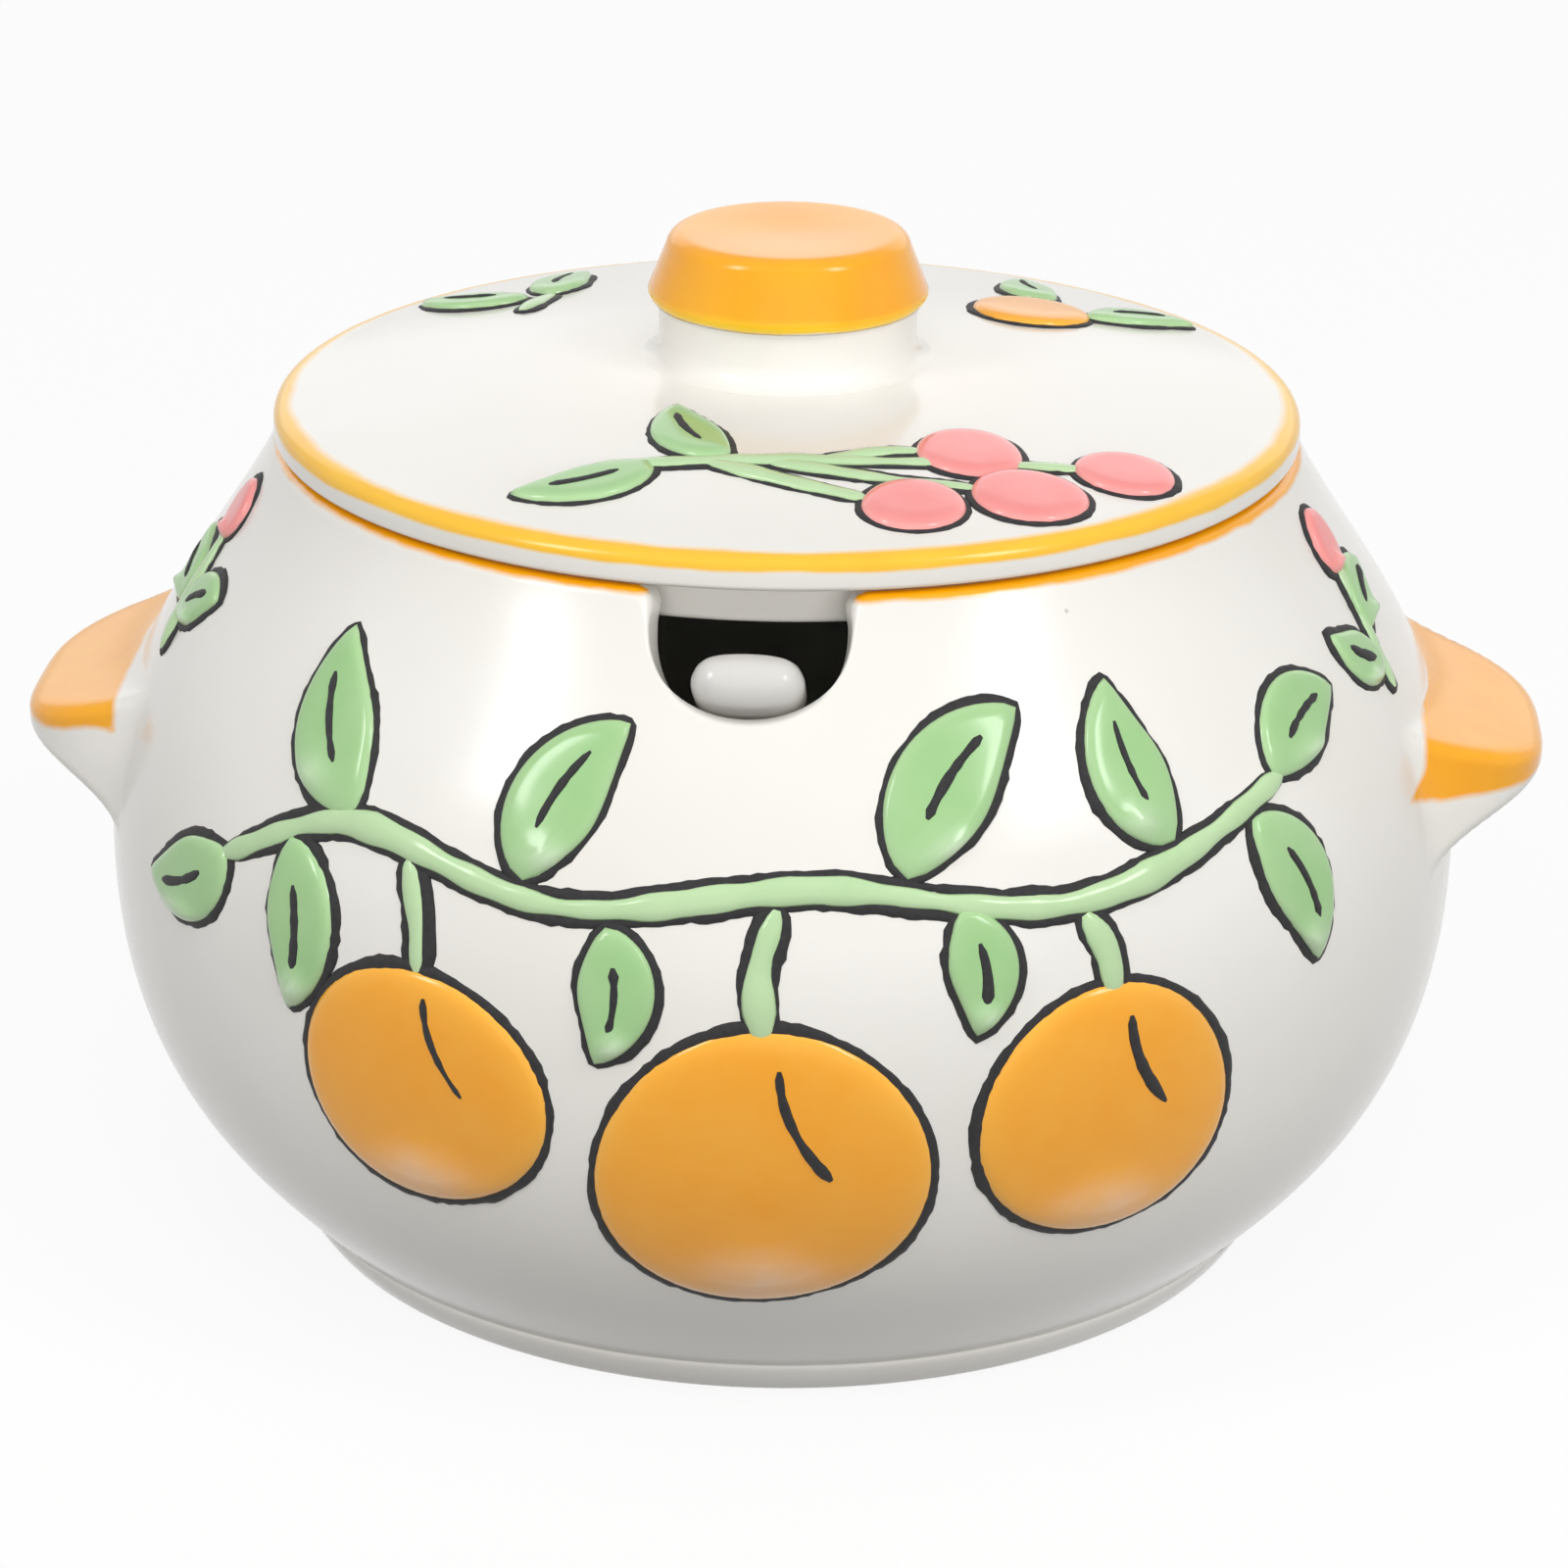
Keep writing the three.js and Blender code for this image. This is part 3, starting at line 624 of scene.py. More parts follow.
clay = add(laying, "ShaderNodeSeparateXYZ", {0: along.outputs["Position"]})
course = add(laying, "ShaderNodeSeparateXYZ", {0: along.outputs["Tangent"]})
raised = add(laying, "ShaderNodeMath", {0: spot.outputs[2], 1: -1.0}, operation="MULTIPLY")
radius_out = add(laying, "ShaderNodeMath", {0: course.outputs[2], 1: raised.outputs[0], 2: clay.outputs[0]},
                 operation="MULTIPLY_ADD")
height_out = add(laying, "ShaderNodeMath", {0: course.outputs[0], 1: spot.outputs[2], 2: clay.outputs[2]},
                 operation="MULTIPLY_ADD")
sine = add(laying, "ShaderNodeMath", {0: angle_at.outputs[0]}, operation="SINE")
cosine = add(laying, "ShaderNodeMath", {0: angle_at.outputs[0]}, operation="COSINE")
x_out = add(laying, "ShaderNodeMath", {0: radius_out.outputs[0], 1: sine.outputs[0]}, operation="MULTIPLY")
y_in = add(laying, "ShaderNodeMath", {0: radius_out.outputs[0], 1: cosine.outputs[0]}, operation="MULTIPLY")
y_out = add(laying, "ShaderNodeMath", {0: y_in.outputs[0], 1: -1.0}, operation="MULTIPLY")
on_clay = add(laying, "ShaderNodeCombineXYZ", {
    0: x_out.outputs[0], 1: y_out.outputs[0], 2: height_out.outputs[0]})
laid = add(laying, "GeometryNodeSetPosition", {"Geometry": shapes.outputs[0], "Position": on_clay.outputs[0]})
real = add(laying, "GeometryNodeRealizeInstances", {"Geometry": laid.outputs[0]})
smooth = add(laying, "GeometryNodeSetShadeSmooth", {"Geometry": real.outputs[0]})
glazed = add(laying, "GeometryNodeSetMaterial", {"Geometry": smooth.outputs[0], "Material": given["Glaze"]})
add(laying, "NodeGroupOutput", {"Geometry": glazed.outputs[0]})


def profile_object(name, points):
    mesh = bpy.data.meshes.new(name)
    flat = [(r * MM, 0, z * MM) for r, z in points]
    mesh.from_pydata(flat, [(i, i + 1) for i in range(len(flat) - 1)], [])
    return put(name, mesh)


# Outlines of the drawn shapes, each a closed row of points with the middle that it is filled from
def fruit(x, y, size, turn=0.0):
    phi = np.linspace(0, 2 * math.pi, 56, endpoint=False)
    bulge = size * (1 + 0.03 * np.cos(2 * (phi - turn)) + 0.015 * np.cos(3 * phi + turn))
    return np.stack([x + bulge * np.cos(phi), y + bulge * np.sin(phi)], 1), np.array((x, y))


def along_leaf(t, x, y, size, turn, curl):
    a = math.radians(turn)
    spin = np.array(((math.cos(a), math.sin(a)), (-math.sin(a), math.cos(a))))
    return np.stack([size * t, curl * size * (1 - (2 * t - 1) ** 2)], 1) @ spin + (x, y)


def beside(path, half):
    slope = np.gradient(path, axis=0)
    side = np.stack([-slope[:, 1], slope[:, 0]], 1) / np.hypot(*slope.T)[:, None] * np.reshape(half, (-1, 1))
    return np.concatenate([path - side, (path + side)[::-1]])


def leaf(x, y, size, width, turn, curl=0.12):
    t = np.linspace(0, 1, 25)
    half = width / 2 * np.sin(math.pi * t ** 0.85) ** 0.75
    ring = np.delete(beside(along_leaf(t, x, y, size, turn, curl), half), (24, 49), 0)
    return ring, along_leaf(np.array([0.5]), x, y, size, turn, curl)[0]


def leaf_vein(x, y, size, width, turn, curl=0.12):
    return along_leaf(np.linspace(0.27, 0.75, 12), x, y, size, turn, curl)


def fruit_crease(x, y, size):
    t = np.linspace(0, 1, 14)
    return np.stack([x + size * (0.1 + 0.3 * t ** 2), y + size * (0.78 - 0.72 * t)], 1)


def stalk(*knots):
    knots = np.array([2 * np.array(knots[0]) - knots[1], *knots, 2 * np.array(knots[-1]) - knots[-2]], float)
    t = np.linspace(0, 1, 10, endpoint=False)[:, None]
    path = []
    for a, b, c, d in zip(knots, knots[1:], knots[2:], knots[3:]):
        bend = a - 2.5 * b + 2 * c - d / 2 + t * (1.5 * (b - c) + (d - a) / 2)
        path.append(b + t * ((c - a) / 2 + t * bend))
    return np.concatenate([*path, knots[-2:-1]])


def stalk_edge(path, half):
    return beside(path, half * np.sqrt(np.clip(1 - np.linspace(-1, 1, len(path)) ** 8, 0.05, 1)))


# A pool's cross-section, as share of the way out to its outline and share of its height
POOL_RINGS = ((1.0, -0.1), (0.985, 0.30), (0.96, 0.55), (0.92, 0.74), (0.85, 0.88), (0.74, 0.96), (0.58, 1.0),
              (0.4, 1.0), (0.2, 1.0))


def laid_on(piece, profile, on_top, **values):
    return run_tree(piece, laying, {
        "Profile": profile, "Drawn Radius": DRAWN_RADIUS * MM, "Start": belly_start * MM, "On Top": on_top,
        "Line Height": LINE_HEIGHT, **values})


def pooled(name, shapes, material, profile, on_top):
    points, faces, rise, painted_highlight = [], [], [], []
    for ring, middle in shapes:
        start = len(points)
        n = len(ring)
        low = ring[:, 1].min()
        span = np.ptp(ring, axis=0)
        for share, lift in (*POOL_RINGS, (0.0, 1.0)):
            for p in middle + share * (ring[:n if share else 1] - middle):
                across = (p[0] - middle[0]) / (SAG_WIDTH * span[0])
                up_from_sag = (p[1] - low - SAG_LOW * span[1]) / (SAG_HEIGHT * span[1])
                sag = 0 if on_top else math.exp(-across ** 2 - up_from_sag ** 2)
                points.append((*(p * MM), lift * (1 + SAG * sag) * POOL_HEIGHT * MM))
                rise.append(max(lift, 0))
                # The sag's weight also sets a pale painted highlight near the pool's lower end
                painted_highlight.append(sag)
        for k in range(len(POOL_RINGS) - 1):
            for i in range(n):
                a = start + k * n + i
                b = start + k * n + (i + 1) % n
                faces.append((a, b, b + n, a + n))
        last = start + (len(POOL_RINGS) - 1) * n
        for i in range(n):
            faces.append((last + i, last + (i + 1) % n, len(points) - 1))
    piece = mesh_piece(name, points, faces, material)
    keep(piece.data, "rise", rise)
    keep(piece.data, "painted_highlight", painted_highlight)
    return laid_on(piece, profile, on_top, Lines=False, Glaze=material)


hand = np.random.default_rng(7)
HAND_SWAY = ((31, 0.2), (13, 0.12), (5, 0.08))
LINE_STEP = 0.6
LINE_RAGGED = 0.09


def evened(path, closed):
    whole = np.concatenate([path, path[:1]]) if closed else path
    length = np.concatenate([[0], np.cumsum(np.hypot(*np.diff(whole, axis=0).T))])
    at = np.linspace(0, length[-1], max(8, round(length[-1] / LINE_STEP)), endpoint=not closed)
    return np.stack([np.interp(at, length, whole[:, k]) for k in (0, 1)], 1)


def trailed(name, paths, material, profile, on_top, lift, ragged):
    points, edges, width = [], [], []
    for path, closed, half in paths:
        path = evened(path, closed)
        start = len(points)
        n = len(path)
        points += [(*(p * MM), lift * MM) for p in path]
        edges += [(start + i, start + i + 1) for i in range(n - 1)]
        if closed:
            edges.append((start + n - 1, start))
        t = np.linspace(0, 1, n, endpoint=not closed)
        length = np.hypot(*np.diff(path, axis=0).T).sum()
        sway = np.ones(n)
        for spacing, share in HAND_SWAY:
            waves = max(1, round(length / spacing)) if closed else length / spacing
            sway += share * np.sin(2 * math.pi * waves * t + hand.uniform(0, 2 * math.pi))
        sway += ragged * hand.standard_normal(n)
        if not closed:
            sway *= 0.4 + 0.6 * np.sqrt(np.clip(np.minimum(t, 1 - t) * length / (2 * half), 0, 1))
        width += list(half * MM * sway)
    mesh = bpy.data.meshes.new(name)
    mesh.from_pydata(points, edges, [])
    keep(mesh, "half_width", width)
    return laid_on(put(name, mesh), profile, on_top, Lines=True, Glaze=material)


# Thick coloured glaze, which pools and shines like a drop: deeper in colour where it lies thick, paler
# where it thins towards its edge, with a pale patch of painted highlight near its lower end, where it ran
# down and gathered.
def pool_glaze(name, thin, thick, highlight_tone):
    made, tree, place = new_glaze(name)
    cloud = add(tree, "ShaderNodeTexNoise", {"Vector": place, "Scale": 1 / (5 * MM), "Detail": 3.0})
    rise = add(tree, "ShaderNodeAttribute", attribute_name="rise")
    body = add(tree, "ShaderNodeMath", {0: rise.outputs["Fac"], 1: 0.7, 2: -0.15}, operation="MULTIPLY_ADD")
    depth = add(tree, "ShaderNodeMath", {0: cloud.outputs[0], 1: 0.6, 2: body.outputs[0]},
                operation="MULTIPLY_ADD")
    body = add(tree, "ShaderNodeMix", {0: depth.outputs[0], 6: linear(thin), 7: linear(thick)},
               data_type="RGBA")
    # Painted highlight: a pale patch where the glaze gathered at a pool's lower end
    painted_highlight = add(tree, "ShaderNodeAttribute", attribute_name="painted_highlight")
    highlight_share = add(tree, "ShaderNodeMath", {0: painted_highlight.outputs["Fac"], 1: cloud.outputs[0]}, operation="MULTIPLY")
    colour = add(tree, "ShaderNodeMix", {0: highlight_share.outputs[0], 6: body.outputs[2], 7: linear(highlight_tone)},
                 data_type="RGBA")
    fired(tree, colour, glaze_relief(tree, place, 0.06), 0.13, 1.52)
    return made


# The last colour of each glaze is the tone of its painted highlight
orange_pool = pool_glaze("orange_pooled_glaze", "#ffc148", "#ffa80c", "#ffe6cc")
green_pool = pool_glaze("leaf_green_pooled_glaze", "#c2dfae", "#9ccb88", "#e2f0d8")
coral_pool = pool_glaze("coral_pooled_glaze", "#feb9b4", "#f98784", "#ffd9d4")

# Trailed line of dark pigment: dry and matte, grey-black, a little grainy
line_pigment, tree, place = new_glaze("dark_matte_line_pigment")
grain = add(tree, "ShaderNodeTexNoise", {"Vector": place, "Scale": 1 / (0.5 * MM), "Detail": 3.0})
dust = add(tree, "ShaderNodeMix", {0: grain.outputs[0], 6: linear("#1b1a1b"), 7: linear("#353436")},
           data_type="RGBA")
tooth = add(tree, "ShaderNodeBump", {"Height": grain.outputs[0], "Strength": 0.6, "Distance": 0.06 * MM})
pigment = add(tree, "ShaderNodeBsdfPrincipled", {
    "Base Color": dust.outputs[2], "Roughness": 0.62, "IOR": 1.5, "Specular IOR Level": 0.35,
    "Normal": tooth.outputs[0]})
add(tree, "ShaderNodeOutputMaterial", {"Surface": pigment.outputs[0]})


# All the raised glaze of one piece: the pools, the stalks, the lines around them and the veins on them
def decorated(prefix, profile, on_top, pools, stalks, stalk_half, line_half, veins, vein_half):
    pieces = [pooled(f"{prefix}_{part}", shapes, glaze, profile, on_top) for part, shapes, glaze in pools]
    rings = [ring for _, shapes, _ in pools for ring, _ in shapes]
    rings += [stalk_edge(path, stalk_half) for path in stalks]
    trails = [("stalks", green_pool, stalks, False, stalk_half, STALK_LIFT, 0),
              ("lines", line_pigment, rings, True, line_half, 0.0, LINE_RAGGED),
              ("veins", line_pigment, veins, False, vein_half, POOL_HEIGHT, LINE_RAGGED)]
    for part, material, paths, closed, half, lift, ragged in trails:
        drawn = [(path, closed, half) for path in paths]
        pieces.append(trailed(f"{prefix}_{part}", drawn, material, profile, on_top, lift, ragged))
    return pieces


pot_profile = profile_object("pot_profile", section[run >= 0])
belly_start = run_at(BELLY[1])

# The garland in front, sprigs above the lugs and a smaller garland behind
BEHIND = math.pi * DRAWN_RADIUS
fruits = [(-25, -7, 10.5), (2, -11.5, 13), (29, -8, 11), (BEHIND - 14, -6, 11), (BEHIND + 13, -9, 12)]
leaves = [(-33, 14, 16, 8.5, 120), (-17, 11.5, 15, 8, 62), (13, 13, 17, 8.5, 48), (36, 13, 14, 7.5, 100),
          (-46, 7, 13, 7, 205), (-39, 10.5, 14, 7, 277), (-10, 9, 11, 6, 268), (17, 10.5, 10, 5.5, 275),
          (44, 13, 14, 7, 292), (48, 15.5, 13, 7, 20),
          (BEHIND - 26, 11, 16, 8, 120), (BEHIND - 2, 11, 15, 8, 65), (BEHIND + 22, 9.5, 16, 8, 40),
          (BEHIND + 32, 9, 14, 7, 285), (BEHIND - 34, 9, 13, 7, 215)]
berries = []
stalks = [stalk((-47, 6.5), (-33, 13), (-14, 10), (6, 12.5), (27, 10), (49, 15.5)),
          stalk((-25, 3), (-25.5, 7), (-27, 11.5)), stalk((2, 1), (1.7, 6), (3, 11)),
          stalk((29, 2.5), (28.5, 6), (27, 9)),
          stalk((BEHIND - 34, 9), (BEHIND - 14, 11), (BEHIND + 10, 8), (BEHIND + 36, 10)),
          stalk((BEHIND - 14, 4.5), (BEHIND - 14, 7), (BEHIND - 13, 10)),
          stalk((BEHIND + 13, 2.5), (BEHIND + 12.5, 5), (BEHIND + 12, 7.5))]
GARLAND_RISE = 3.0
fruits = [(x, y + GARLAND_RISE, *size) for x, y, *size in fruits]
leaves = [(x, y + GARLAND_RISE, *shape) for x, y, *shape in leaves]
stalks = [path + (0, GARLAND_RISE) for path in stalks]
for side in (-1, 1):
    leaves += [(side * 72, 22, 9, 5, 90 + 62 * side), (side * 72.6, 24, 9, 5, 90 - 58 * side)]
    berries.append((side * 74, 32.2, 3.0))
    stalks.append(stalk((side * 71.6, 19), (side * 72.2, 22.5), (side * 74, 30)))

pools = [("fruit", [fruit(*f, turn=k) for k, f in enumerate(fruits)], orange_pool),
         ("leaves", [leaf(*f) for f in leaves], green_pool),
         ("berries", [fruit(*f, turn=k) for k, f in enumerate(berries)], coral_pool)]
veins = [leaf_vein(*f) for f in leaves] + [fruit_crease(*f) for f in fruits]
for piece in decorated("pot", pot_profile, False, pools, stalks, STALK_HALF, LINE_HALF, veins, VEIN_HALF):
    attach(piece, "pot")
bpy.data.objects.remove(pot_profile)


# Lid: a shallow pressed dome in the same white glaze, with a rounded edge, a skirt that hangs in the mouth of
# the pot and an orange band brushed round its upper edge
LID_RADIUS = 43.0
LID_ROUND = 1.3
LID_LOWER_ROUND = 0.5
LID_UNDER = 69.4
LID_TOP_EDGE = 72.2
LID_RISE = 3.4
LID_WALL = 3.2
SEAT_RADIUS = 12.4
SKIRT_OUTER = 39.2
SKIRT_INNER = 36.6
SKIRT_BOTTOM = 65.5
SKIRT_ROUND = 0.65
SKIRT_FILLET = 0.6
INSIDE_FILLET = 1.6
UNDER_RING = 40.4

turning = new_tree("turn_profile", [("Points", "Int"), ("Segments", "Int"), ("Glaze", "Material")])
given = add(turning, "NodeGroupInput").outputs
around_count = add(turning, "ShaderNodeMath", {0: given["Segments"], 1: 1.0}, operation="ADD")
sheet = add(turning, "GeometryNodeMeshGrid", {
    "Size X": 1.0, "Size Y": 1.0, "Vertices X": given["Points"], "Vertices Y": around_count.outputs[0]})
spot = add(turning, "ShaderNodeSeparateXYZ", {0: add(turning, "GeometryNodeInputPosition").outputs[0]})
share = add(turning, "ShaderNodeMath", {0: spot.outputs[0], 1: 0.5}, operation="ADD")
steps_count = add(turning, "ShaderNodeMath", {0: given["Points"], 1: 1.0}, operation="SUBTRACT")
step = add(turning, "ShaderNodeMath", {0: share.outputs[0], 1: steps_count.outputs[0]}, operation="MULTIPLY")
nearest = add(turning, "ShaderNodeMath", {0: step.outputs[0]}, operation="ROUND")
profile_point = add(turning, "GeometryNodeSampleIndex", {
    "Geometry": given["Geometry"], "Value": add(turning, "GeometryNodeInputPosition").outputs[0],
    "Index": nearest.outputs[0]}, data_type="FLOAT_VECTOR", domain="POINT")
rz_point = add(turning, "ShaderNodeSeparateXYZ", {0: profile_point.outputs[0]})
wound = add(turning, "ShaderNodeMath", {0: spot.outputs[1], 1: 2 * math.pi}, operation="MULTIPLY")
sine = add(turning, "ShaderNodeMath", {0: wound.outputs[0]}, operation="SINE")
cosine = add(turning, "ShaderNodeMath", {0: wound.outputs[0]}, operation="COSINE")
x_out = add(turning, "ShaderNodeMath", {0: rz_point.outputs[0], 1: cosine.outputs[0]}, operation="MULTIPLY")
y_out = add(turning, "ShaderNodeMath", {0: rz_point.outputs[0], 1: sine.outputs[0]}, operation="MULTIPLY")
turned_spot = add(turning, "ShaderNodeCombineXYZ", {
    0: x_out.outputs[0], 1: y_out.outputs[0], 2: rz_point.outputs[2]})
shaped = add(turning, "GeometryNodeSetPosition", {
    "Geometry": sheet.outputs[0], "Position": turned_spot.outputs[0]})
closed = add(turning, "GeometryNodeMergeByDistance", {"Geometry": shaped.outputs[0], "Distance": 0.002 * MM})
real = add(turning, "GeometryNodeRealizeInstances", {"Geometry": closed.outputs[0]})
smooth = add(turning, "GeometryNodeSetShadeSmooth", {"Geometry": real.outputs[0]})
glazed = add(turning, "GeometryNodeSetMaterial", {"Geometry": smooth.outputs[0], "Material": given["Glaze"]})
add(turning, "NodeGroupOutput", {"Geometry": glazed.outputs[0]})
TURNED_SEGMENTS = 192


def turned_piece(name, profile, material):
    piece = profile_object(name, profile)
    run_tree(piece, turning, {"Points": len(profile), "Segments": TURNED_SEGMENTS, "Glaze": material})
    work = bmesh.new()
    work.from_mesh(piece.data)
    bmesh.ops.recalc_face_normals(work, faces=work.faces)
    work.to_mesh(piece.data)
    work.free()
    return piece


def arc(r, z, size, start, end, steps=8):
    return [(r + size * math.cos(math.radians(a)), z + size * math.sin(math.radians(a)))
            for a in np.linspace(start, end, steps)]


def dome_at(r):
    fall = (np.asarray(r) ** 2 - SEAT_RADIUS ** 2) / ((LID_RADIUS - LID_ROUND) ** 2 - SEAT_RADIUS ** 2)
    return LID_TOP_EDGE + LID_RISE * (1 - np.maximum(fall, 0))


lid_top = [(r, float(dome_at(r))) for r in np.linspace(0, LID_RADIUS - LID_ROUND, 36)]
lid_profile = lid_top + arc(LID_RADIUS - LID_ROUND, LID_TOP_EDGE - LID_ROUND, LID_ROUND, 80, 0)
lid_profile += arc(LID_RADIUS - LID_LOWER_ROUND, LID_UNDER + LID_LOWER_ROUND, LID_LOWER_ROUND, 0, -90)
lid_profile.append((UNDER_RING, LID_UNDER))
lid_profile += arc(SKIRT_OUTER + SKIRT_FILLET, LID_UNDER - SKIRT_FILLET, SKIRT_FILLET, 90, 180, 5)
lid_profile += arc(SKIRT_OUTER - SKIRT_ROUND, SKIRT_BOTTOM + SKIRT_ROUND, SKIRT_ROUND, 0, -90, 5)
lid_profile += arc(SKIRT_INNER + SKIRT_ROUND, SKIRT_BOTTOM + SKIRT_ROUND, SKIRT_ROUND, -90, -180, 5)
bend_at = SKIRT_INNER - INSIDE_FILLET
lid_profile += arc(bend_at, float(dome_at(bend_at)) - LID_WALL - INSIDE_FILLET, INSIDE_FILLET, 0, 80, 6)
lid_profile += [(r, float(dome_at(r)) - LID_WALL) for r in np.linspace(SKIRT_INNER - 2.5, 0, 24)]

# The lid's glaze, with its orange band: solid at the edge, its inner side soft where the brush ran dry
BAND_FROM = 41.5
BAND_LOW = 71.0
lid_glaze, tree, place = new_glaze("white_glaze_with_orange_band")
white_part = glaze_colour(tree, place)
orange_part = brushed_orange(tree, place, "#ffcc36", "#ffbc24")
spot = add(tree, "ShaderNodeSeparateXYZ", {0: place})
level_spot = add(tree, "ShaderNodeCombineXYZ", {0: spot.outputs[0], 1: spot.outputs[1]})
reach = add(tree, "ShaderNodeVectorMath", {0: level_spot.outputs[0]}, operation="LENGTH")
dabs = add(tree, "ShaderNodeTexNoise", {"Vector": place, "Scale": 1 / (7 * MM), "Detail": 2.0})
wander = add(tree, "ShaderNodeMath", {0: dabs.outputs[0], 1: 0.9 * MM, 2: reach.outputs["Value"]},
             operation="MULTIPLY_ADD")
outer_side = add(tree, "ShaderNodeMapRange", {
    0: wander.outputs[0], 1: (BAND_FROM + 0.1) * MM, 2: (BAND_FROM + 0.85) * MM})
sag = add(tree, "ShaderNodeMath", {0: dabs.outputs[0], 1: 0.5 * MM, 2: spot.outputs[2]},
          operation="MULTIPLY_ADD")
upper_side = add(tree, "ShaderNodeMapRange", {
    0: sag.outputs[0], 1: (BAND_LOW + 0.1) * MM, 2: (BAND_LOW + 0.4) * MM})
band = add(tree, "ShaderNodeMath", {0: outer_side.outputs[0], 1: upper_side.outputs[0]}, operation="MULTIPLY")
colour = add(tree, "ShaderNodeMix", {
    0: band.outputs[0], 6: white_part.outputs[2], 7: orange_part.outputs[2]}, data_type="RGBA")
fired(tree, colour, glaze_relief(tree, place, 0.04))

lid_dome = turned_piece("lid_dome", lid_profile, lid_glaze)
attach(lid_dome, "lid")
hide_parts("lid_plate")

# Raised decoration on the lid: a sprig of coral berries in front, a fruit with two leaves and a twig with
# two more behind, all drawn finer than on the pot and as seen from above
LID_STALK_HALF = 0.8
LID_LINE_HALF = 0.46
LID_VEIN_HALF = 0.3
lid_line = profile_object("lid_profile", lid_top)
lid_berries = [(21, -29.5, 4.6), (12, -33, 4.2), (16, -22.5, 4.4), (28.5, -23, 4.0)]
lid_leaves = [(-9, -27, 12, 5.8, 205), (-3, -26, 12, 5.6, 115), (25, 18, 10, 5, 20), (22, 24, 9, 4.8, 110),
              (-24, 20, 10, 5, 170), (-22, 21, 9.5, 5, 75)]
lid_stalks = [stalk((-14, -27.5), (-4, -26.5), (8, -25.5), (25, -23.2)),
              stalk((4, -26), (9, -23.5), (12.2, -22.8)),
              stalk((0, -26.5), (9, -28.5), (16.8, -29)), stalk((-5, -26.5), (2, -30), (8.2, -32.4)),
              stalk((-24, 14.5), (-23, 18), (-22, 21))]
lid_fruit = [(20, 18, 5.0)]
pools = [("berries", [fruit(*f, turn=k) for k, f in enumerate(lid_berries)], coral_pool),
         ("leaves", [leaf(*f) for f in lid_leaves], green_pool),
         ("fruit", [fruit(*f) for f in lid_fruit], orange_pool)]
veins = [leaf_vein(*f) for f in lid_leaves]
for piece in decorated("lid", lid_line, True, pools, lid_stalks, LID_STALK_HALF, LID_LINE_HALF, veins,
                       LID_VEIN_HALF):
    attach(piece, "lid")
bpy.data.objects.remove(lid_line)


# Knob: a low drum on a short neck, luted on the middle of the lid. Its head is dipped in orange glaze, its
# neck is white like the lid.
KNOB_NECK = 10.8
KNOB_FILLET = 2.0
KNOB_HEAD = 11.7
KNOB_HEAD_BOTTOM = 80.4
KNOB_TOP = 86.3
KNOB_TAPER = 1.45
KNOB_ROUND = 1.5
KNOB_DISH = 0.3
KNOB_ROOT = 13.2
KNOB_SUNK = 0.5
FILLET_SUNK = 0.1
NECK_ROUND = 0.45
HEAD_ROUND = 0.9
DIP_LINE = 80.6
seat = LID_TOP_EDGE + LID_RISE
knob_profile = [(0, seat - KNOB_SUNK), (KNOB_ROOT, seat - KNOB_SUNK)]
knob_profile += arc(KNOB_NECK + KNOB_FILLET, seat - FILLET_SUNK + KNOB_FILLET, KNOB_FILLET, 270, 180, 14)
knob_profile += arc(KNOB_NECK + NECK_ROUND, KNOB_HEAD_BOTTOM - NECK_ROUND, NECK_ROUND, 180, 90, 5)
knob_profile += arc(KNOB_HEAD - HEAD_ROUND, KNOB_HEAD_BOTTOM + HEAD_ROUND, HEAD_ROUND, -90, 8)
rest = KNOB_HEAD - KNOB_TAPER - KNOB_ROUND
knob_profile += arc(rest, KNOB_TOP - KNOB_ROUND, KNOB_ROUND, 10, 88, 12)
for r in np.linspace(rest - 0.4, 0, 14):
    knob_profile.append((r, KNOB_TOP - KNOB_DISH * float(smooth_step(1 - r / rest))))

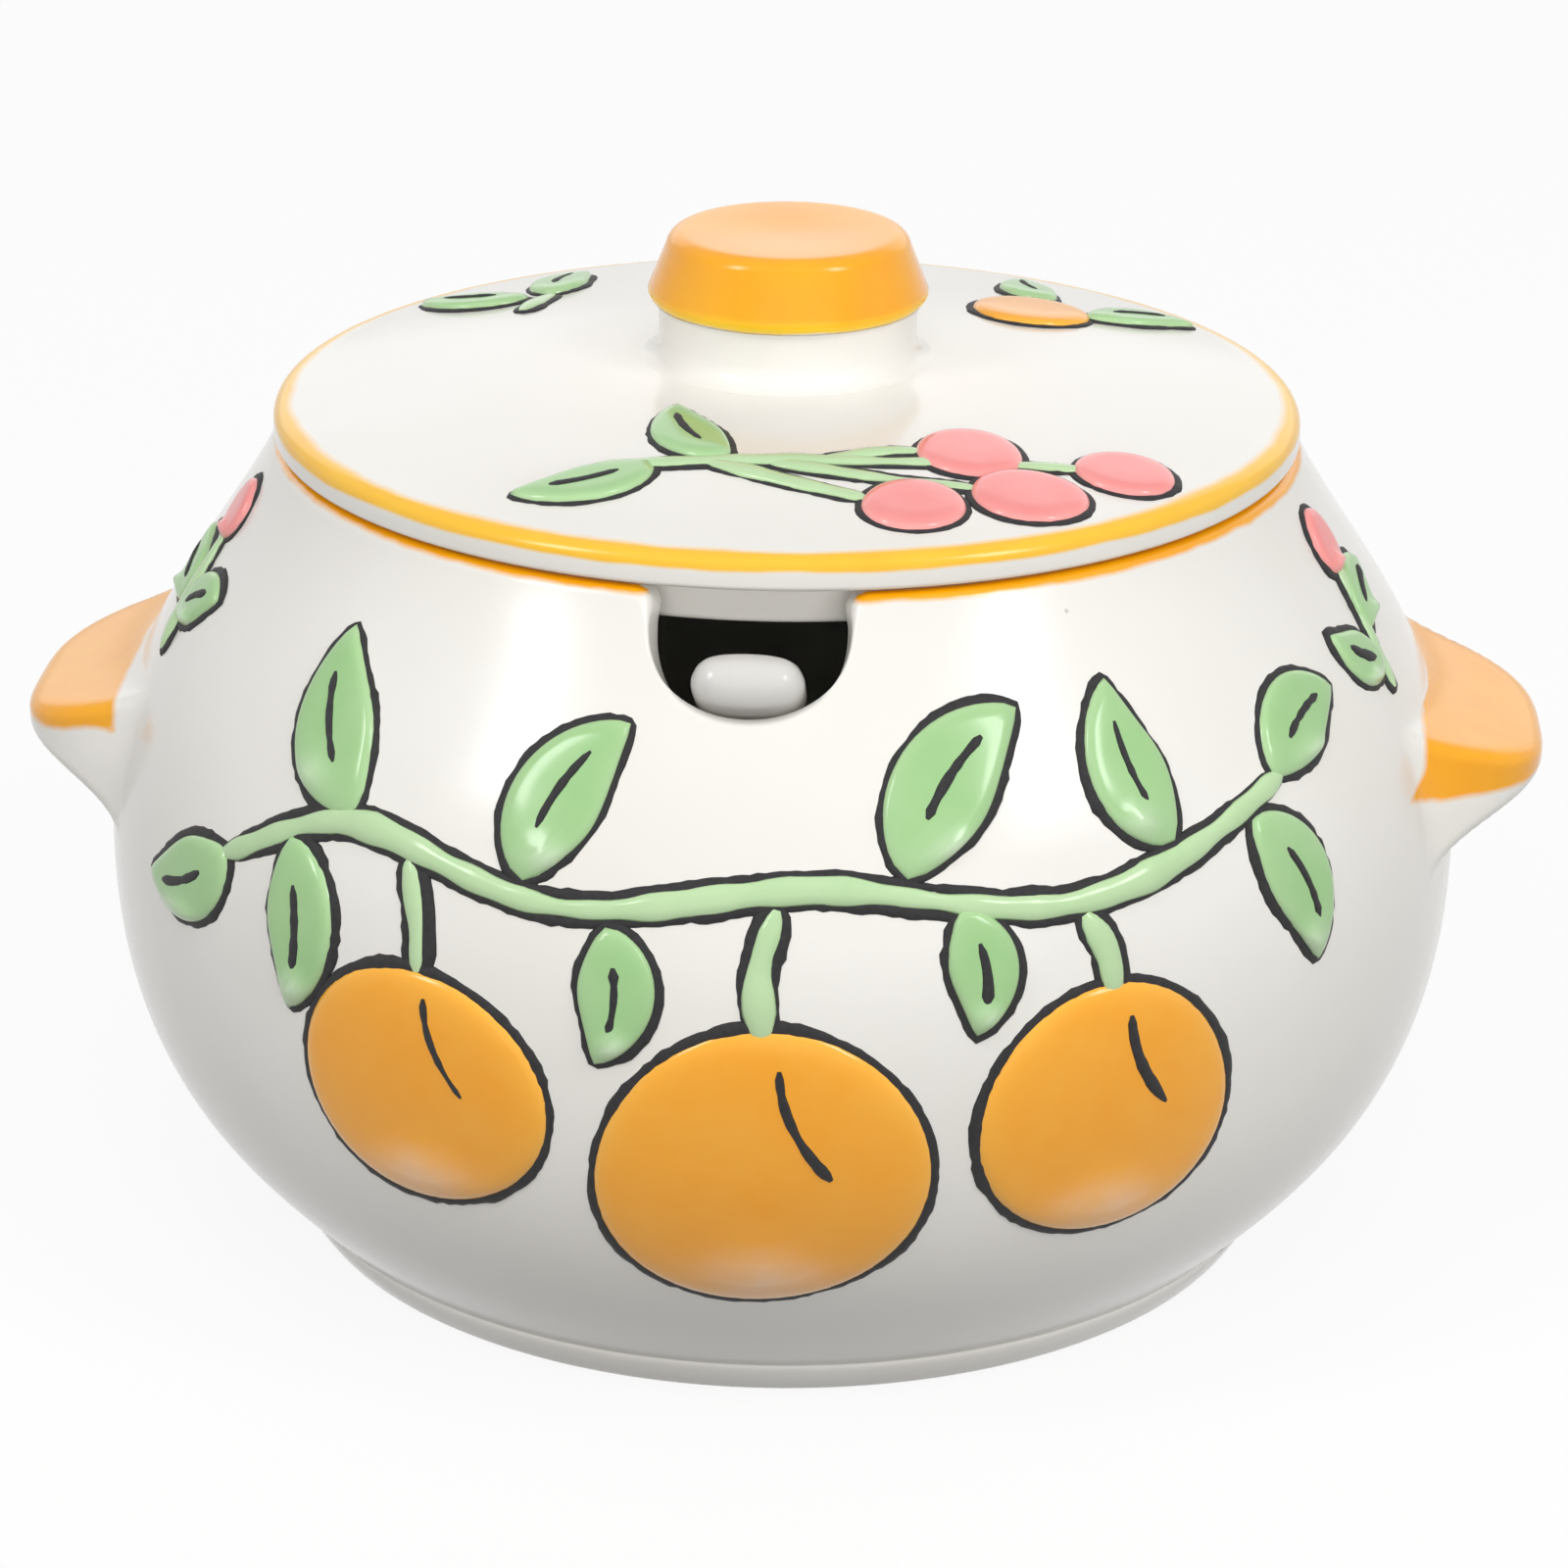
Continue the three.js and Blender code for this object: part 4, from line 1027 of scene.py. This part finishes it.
# The knob's glaze: orange down to the line that it was dipped to, yellower just above it where it ran thin
knob_glaze, tree, place = new_glaze("orange_dipped_glaze")
white_part = glaze_colour(tree, place)
orange_part = brushed_orange(tree, place)
spot = add(tree, "ShaderNodeSeparateXYZ", {0: place})
dabs = add(tree, "ShaderNodeTexNoise", {"Vector": place, "Scale": 1 / (5 * MM), "Detail": 2.0})
sag = add(tree, "ShaderNodeMath", {0: dabs.outputs[0], 1: 0.7 * MM, 2: spot.outputs[2]},
          operation="MULTIPLY_ADD")
thick = add(tree, "ShaderNodeMapRange", {
    0: sag.outputs[0], 1: (DIP_LINE + 0.6) * MM, 2: (DIP_LINE + 1.5) * MM})
orange_part = add(tree, "ShaderNodeMix", {
    0: thick.outputs[0], 6: linear("#ffd21c"), 7: orange_part.outputs[2]}, data_type="RGBA")
dipped = add(tree, "ShaderNodeMapRange", {
    0: sag.outputs[0], 1: (DIP_LINE + 0.1) * MM, 2: (DIP_LINE + 0.4) * MM})
colour = add(tree, "ShaderNodeMix", {
    0: dipped.outputs[0], 6: white_part.outputs[2], 7: orange_part.outputs[2]}, data_type="RGBA")
fired(tree, colour, glaze_relief(tree, place, 0.05))

knob = turned_piece("knob", knob_profile, knob_glaze)
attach(knob, "lid")
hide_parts("lid_knob")


# Spoon: one press-moulded ceramic spoon in white glaze, its edges and the root of its handle softened by the
# glaze. Its oval handle leans in the notch and its bowl lies on the floor of the pot.
# The pot's white glaze, as glossy, with greyer colours: painted shade for the spoon that lies in the notch
# under the lid
spoon_glaze, tree, place = new_glaze("white_spoon_glaze")
fired(tree, glaze_colour(tree, place, "#d3d0cb", "#dedcd8"), glaze_relief(tree, place, 0.04))

SPOON_VOXEL = 0.55
SPOON_SMOOTHING = 14
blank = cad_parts["spoon"].data.copy()
spoon = put("glazed_spoon", blank)
work = bmesh.new()
work.from_mesh(blank)
bmesh.ops.remove_doubles(work, verts=work.verts, dist=0.001 * MM)
bmesh.ops.recalc_face_normals(work, faces=work.faces)
work.to_mesh(blank)
work.free()
remesh = spoon.modifiers.new("press", "REMESH")
remesh.mode = "VOXEL"
remesh.voxel_size = SPOON_VOXEL * MM
soften = spoon.modifiers.new("soften", "SMOOTH")
soften.factor = 0.5
soften.iterations = SPOON_SMOOTHING
spoon.data = bpy.data.meshes.new_from_object(spoon.evaluated_get(bpy.context.evaluated_depsgraph_get()))
spoon.modifiers.clear()
spoon.data.materials.clear()
spoon.data.materials.append(spoon_glaze)
spoon.data.shade_smooth()
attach(spoon, "spoon")
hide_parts("spoon")
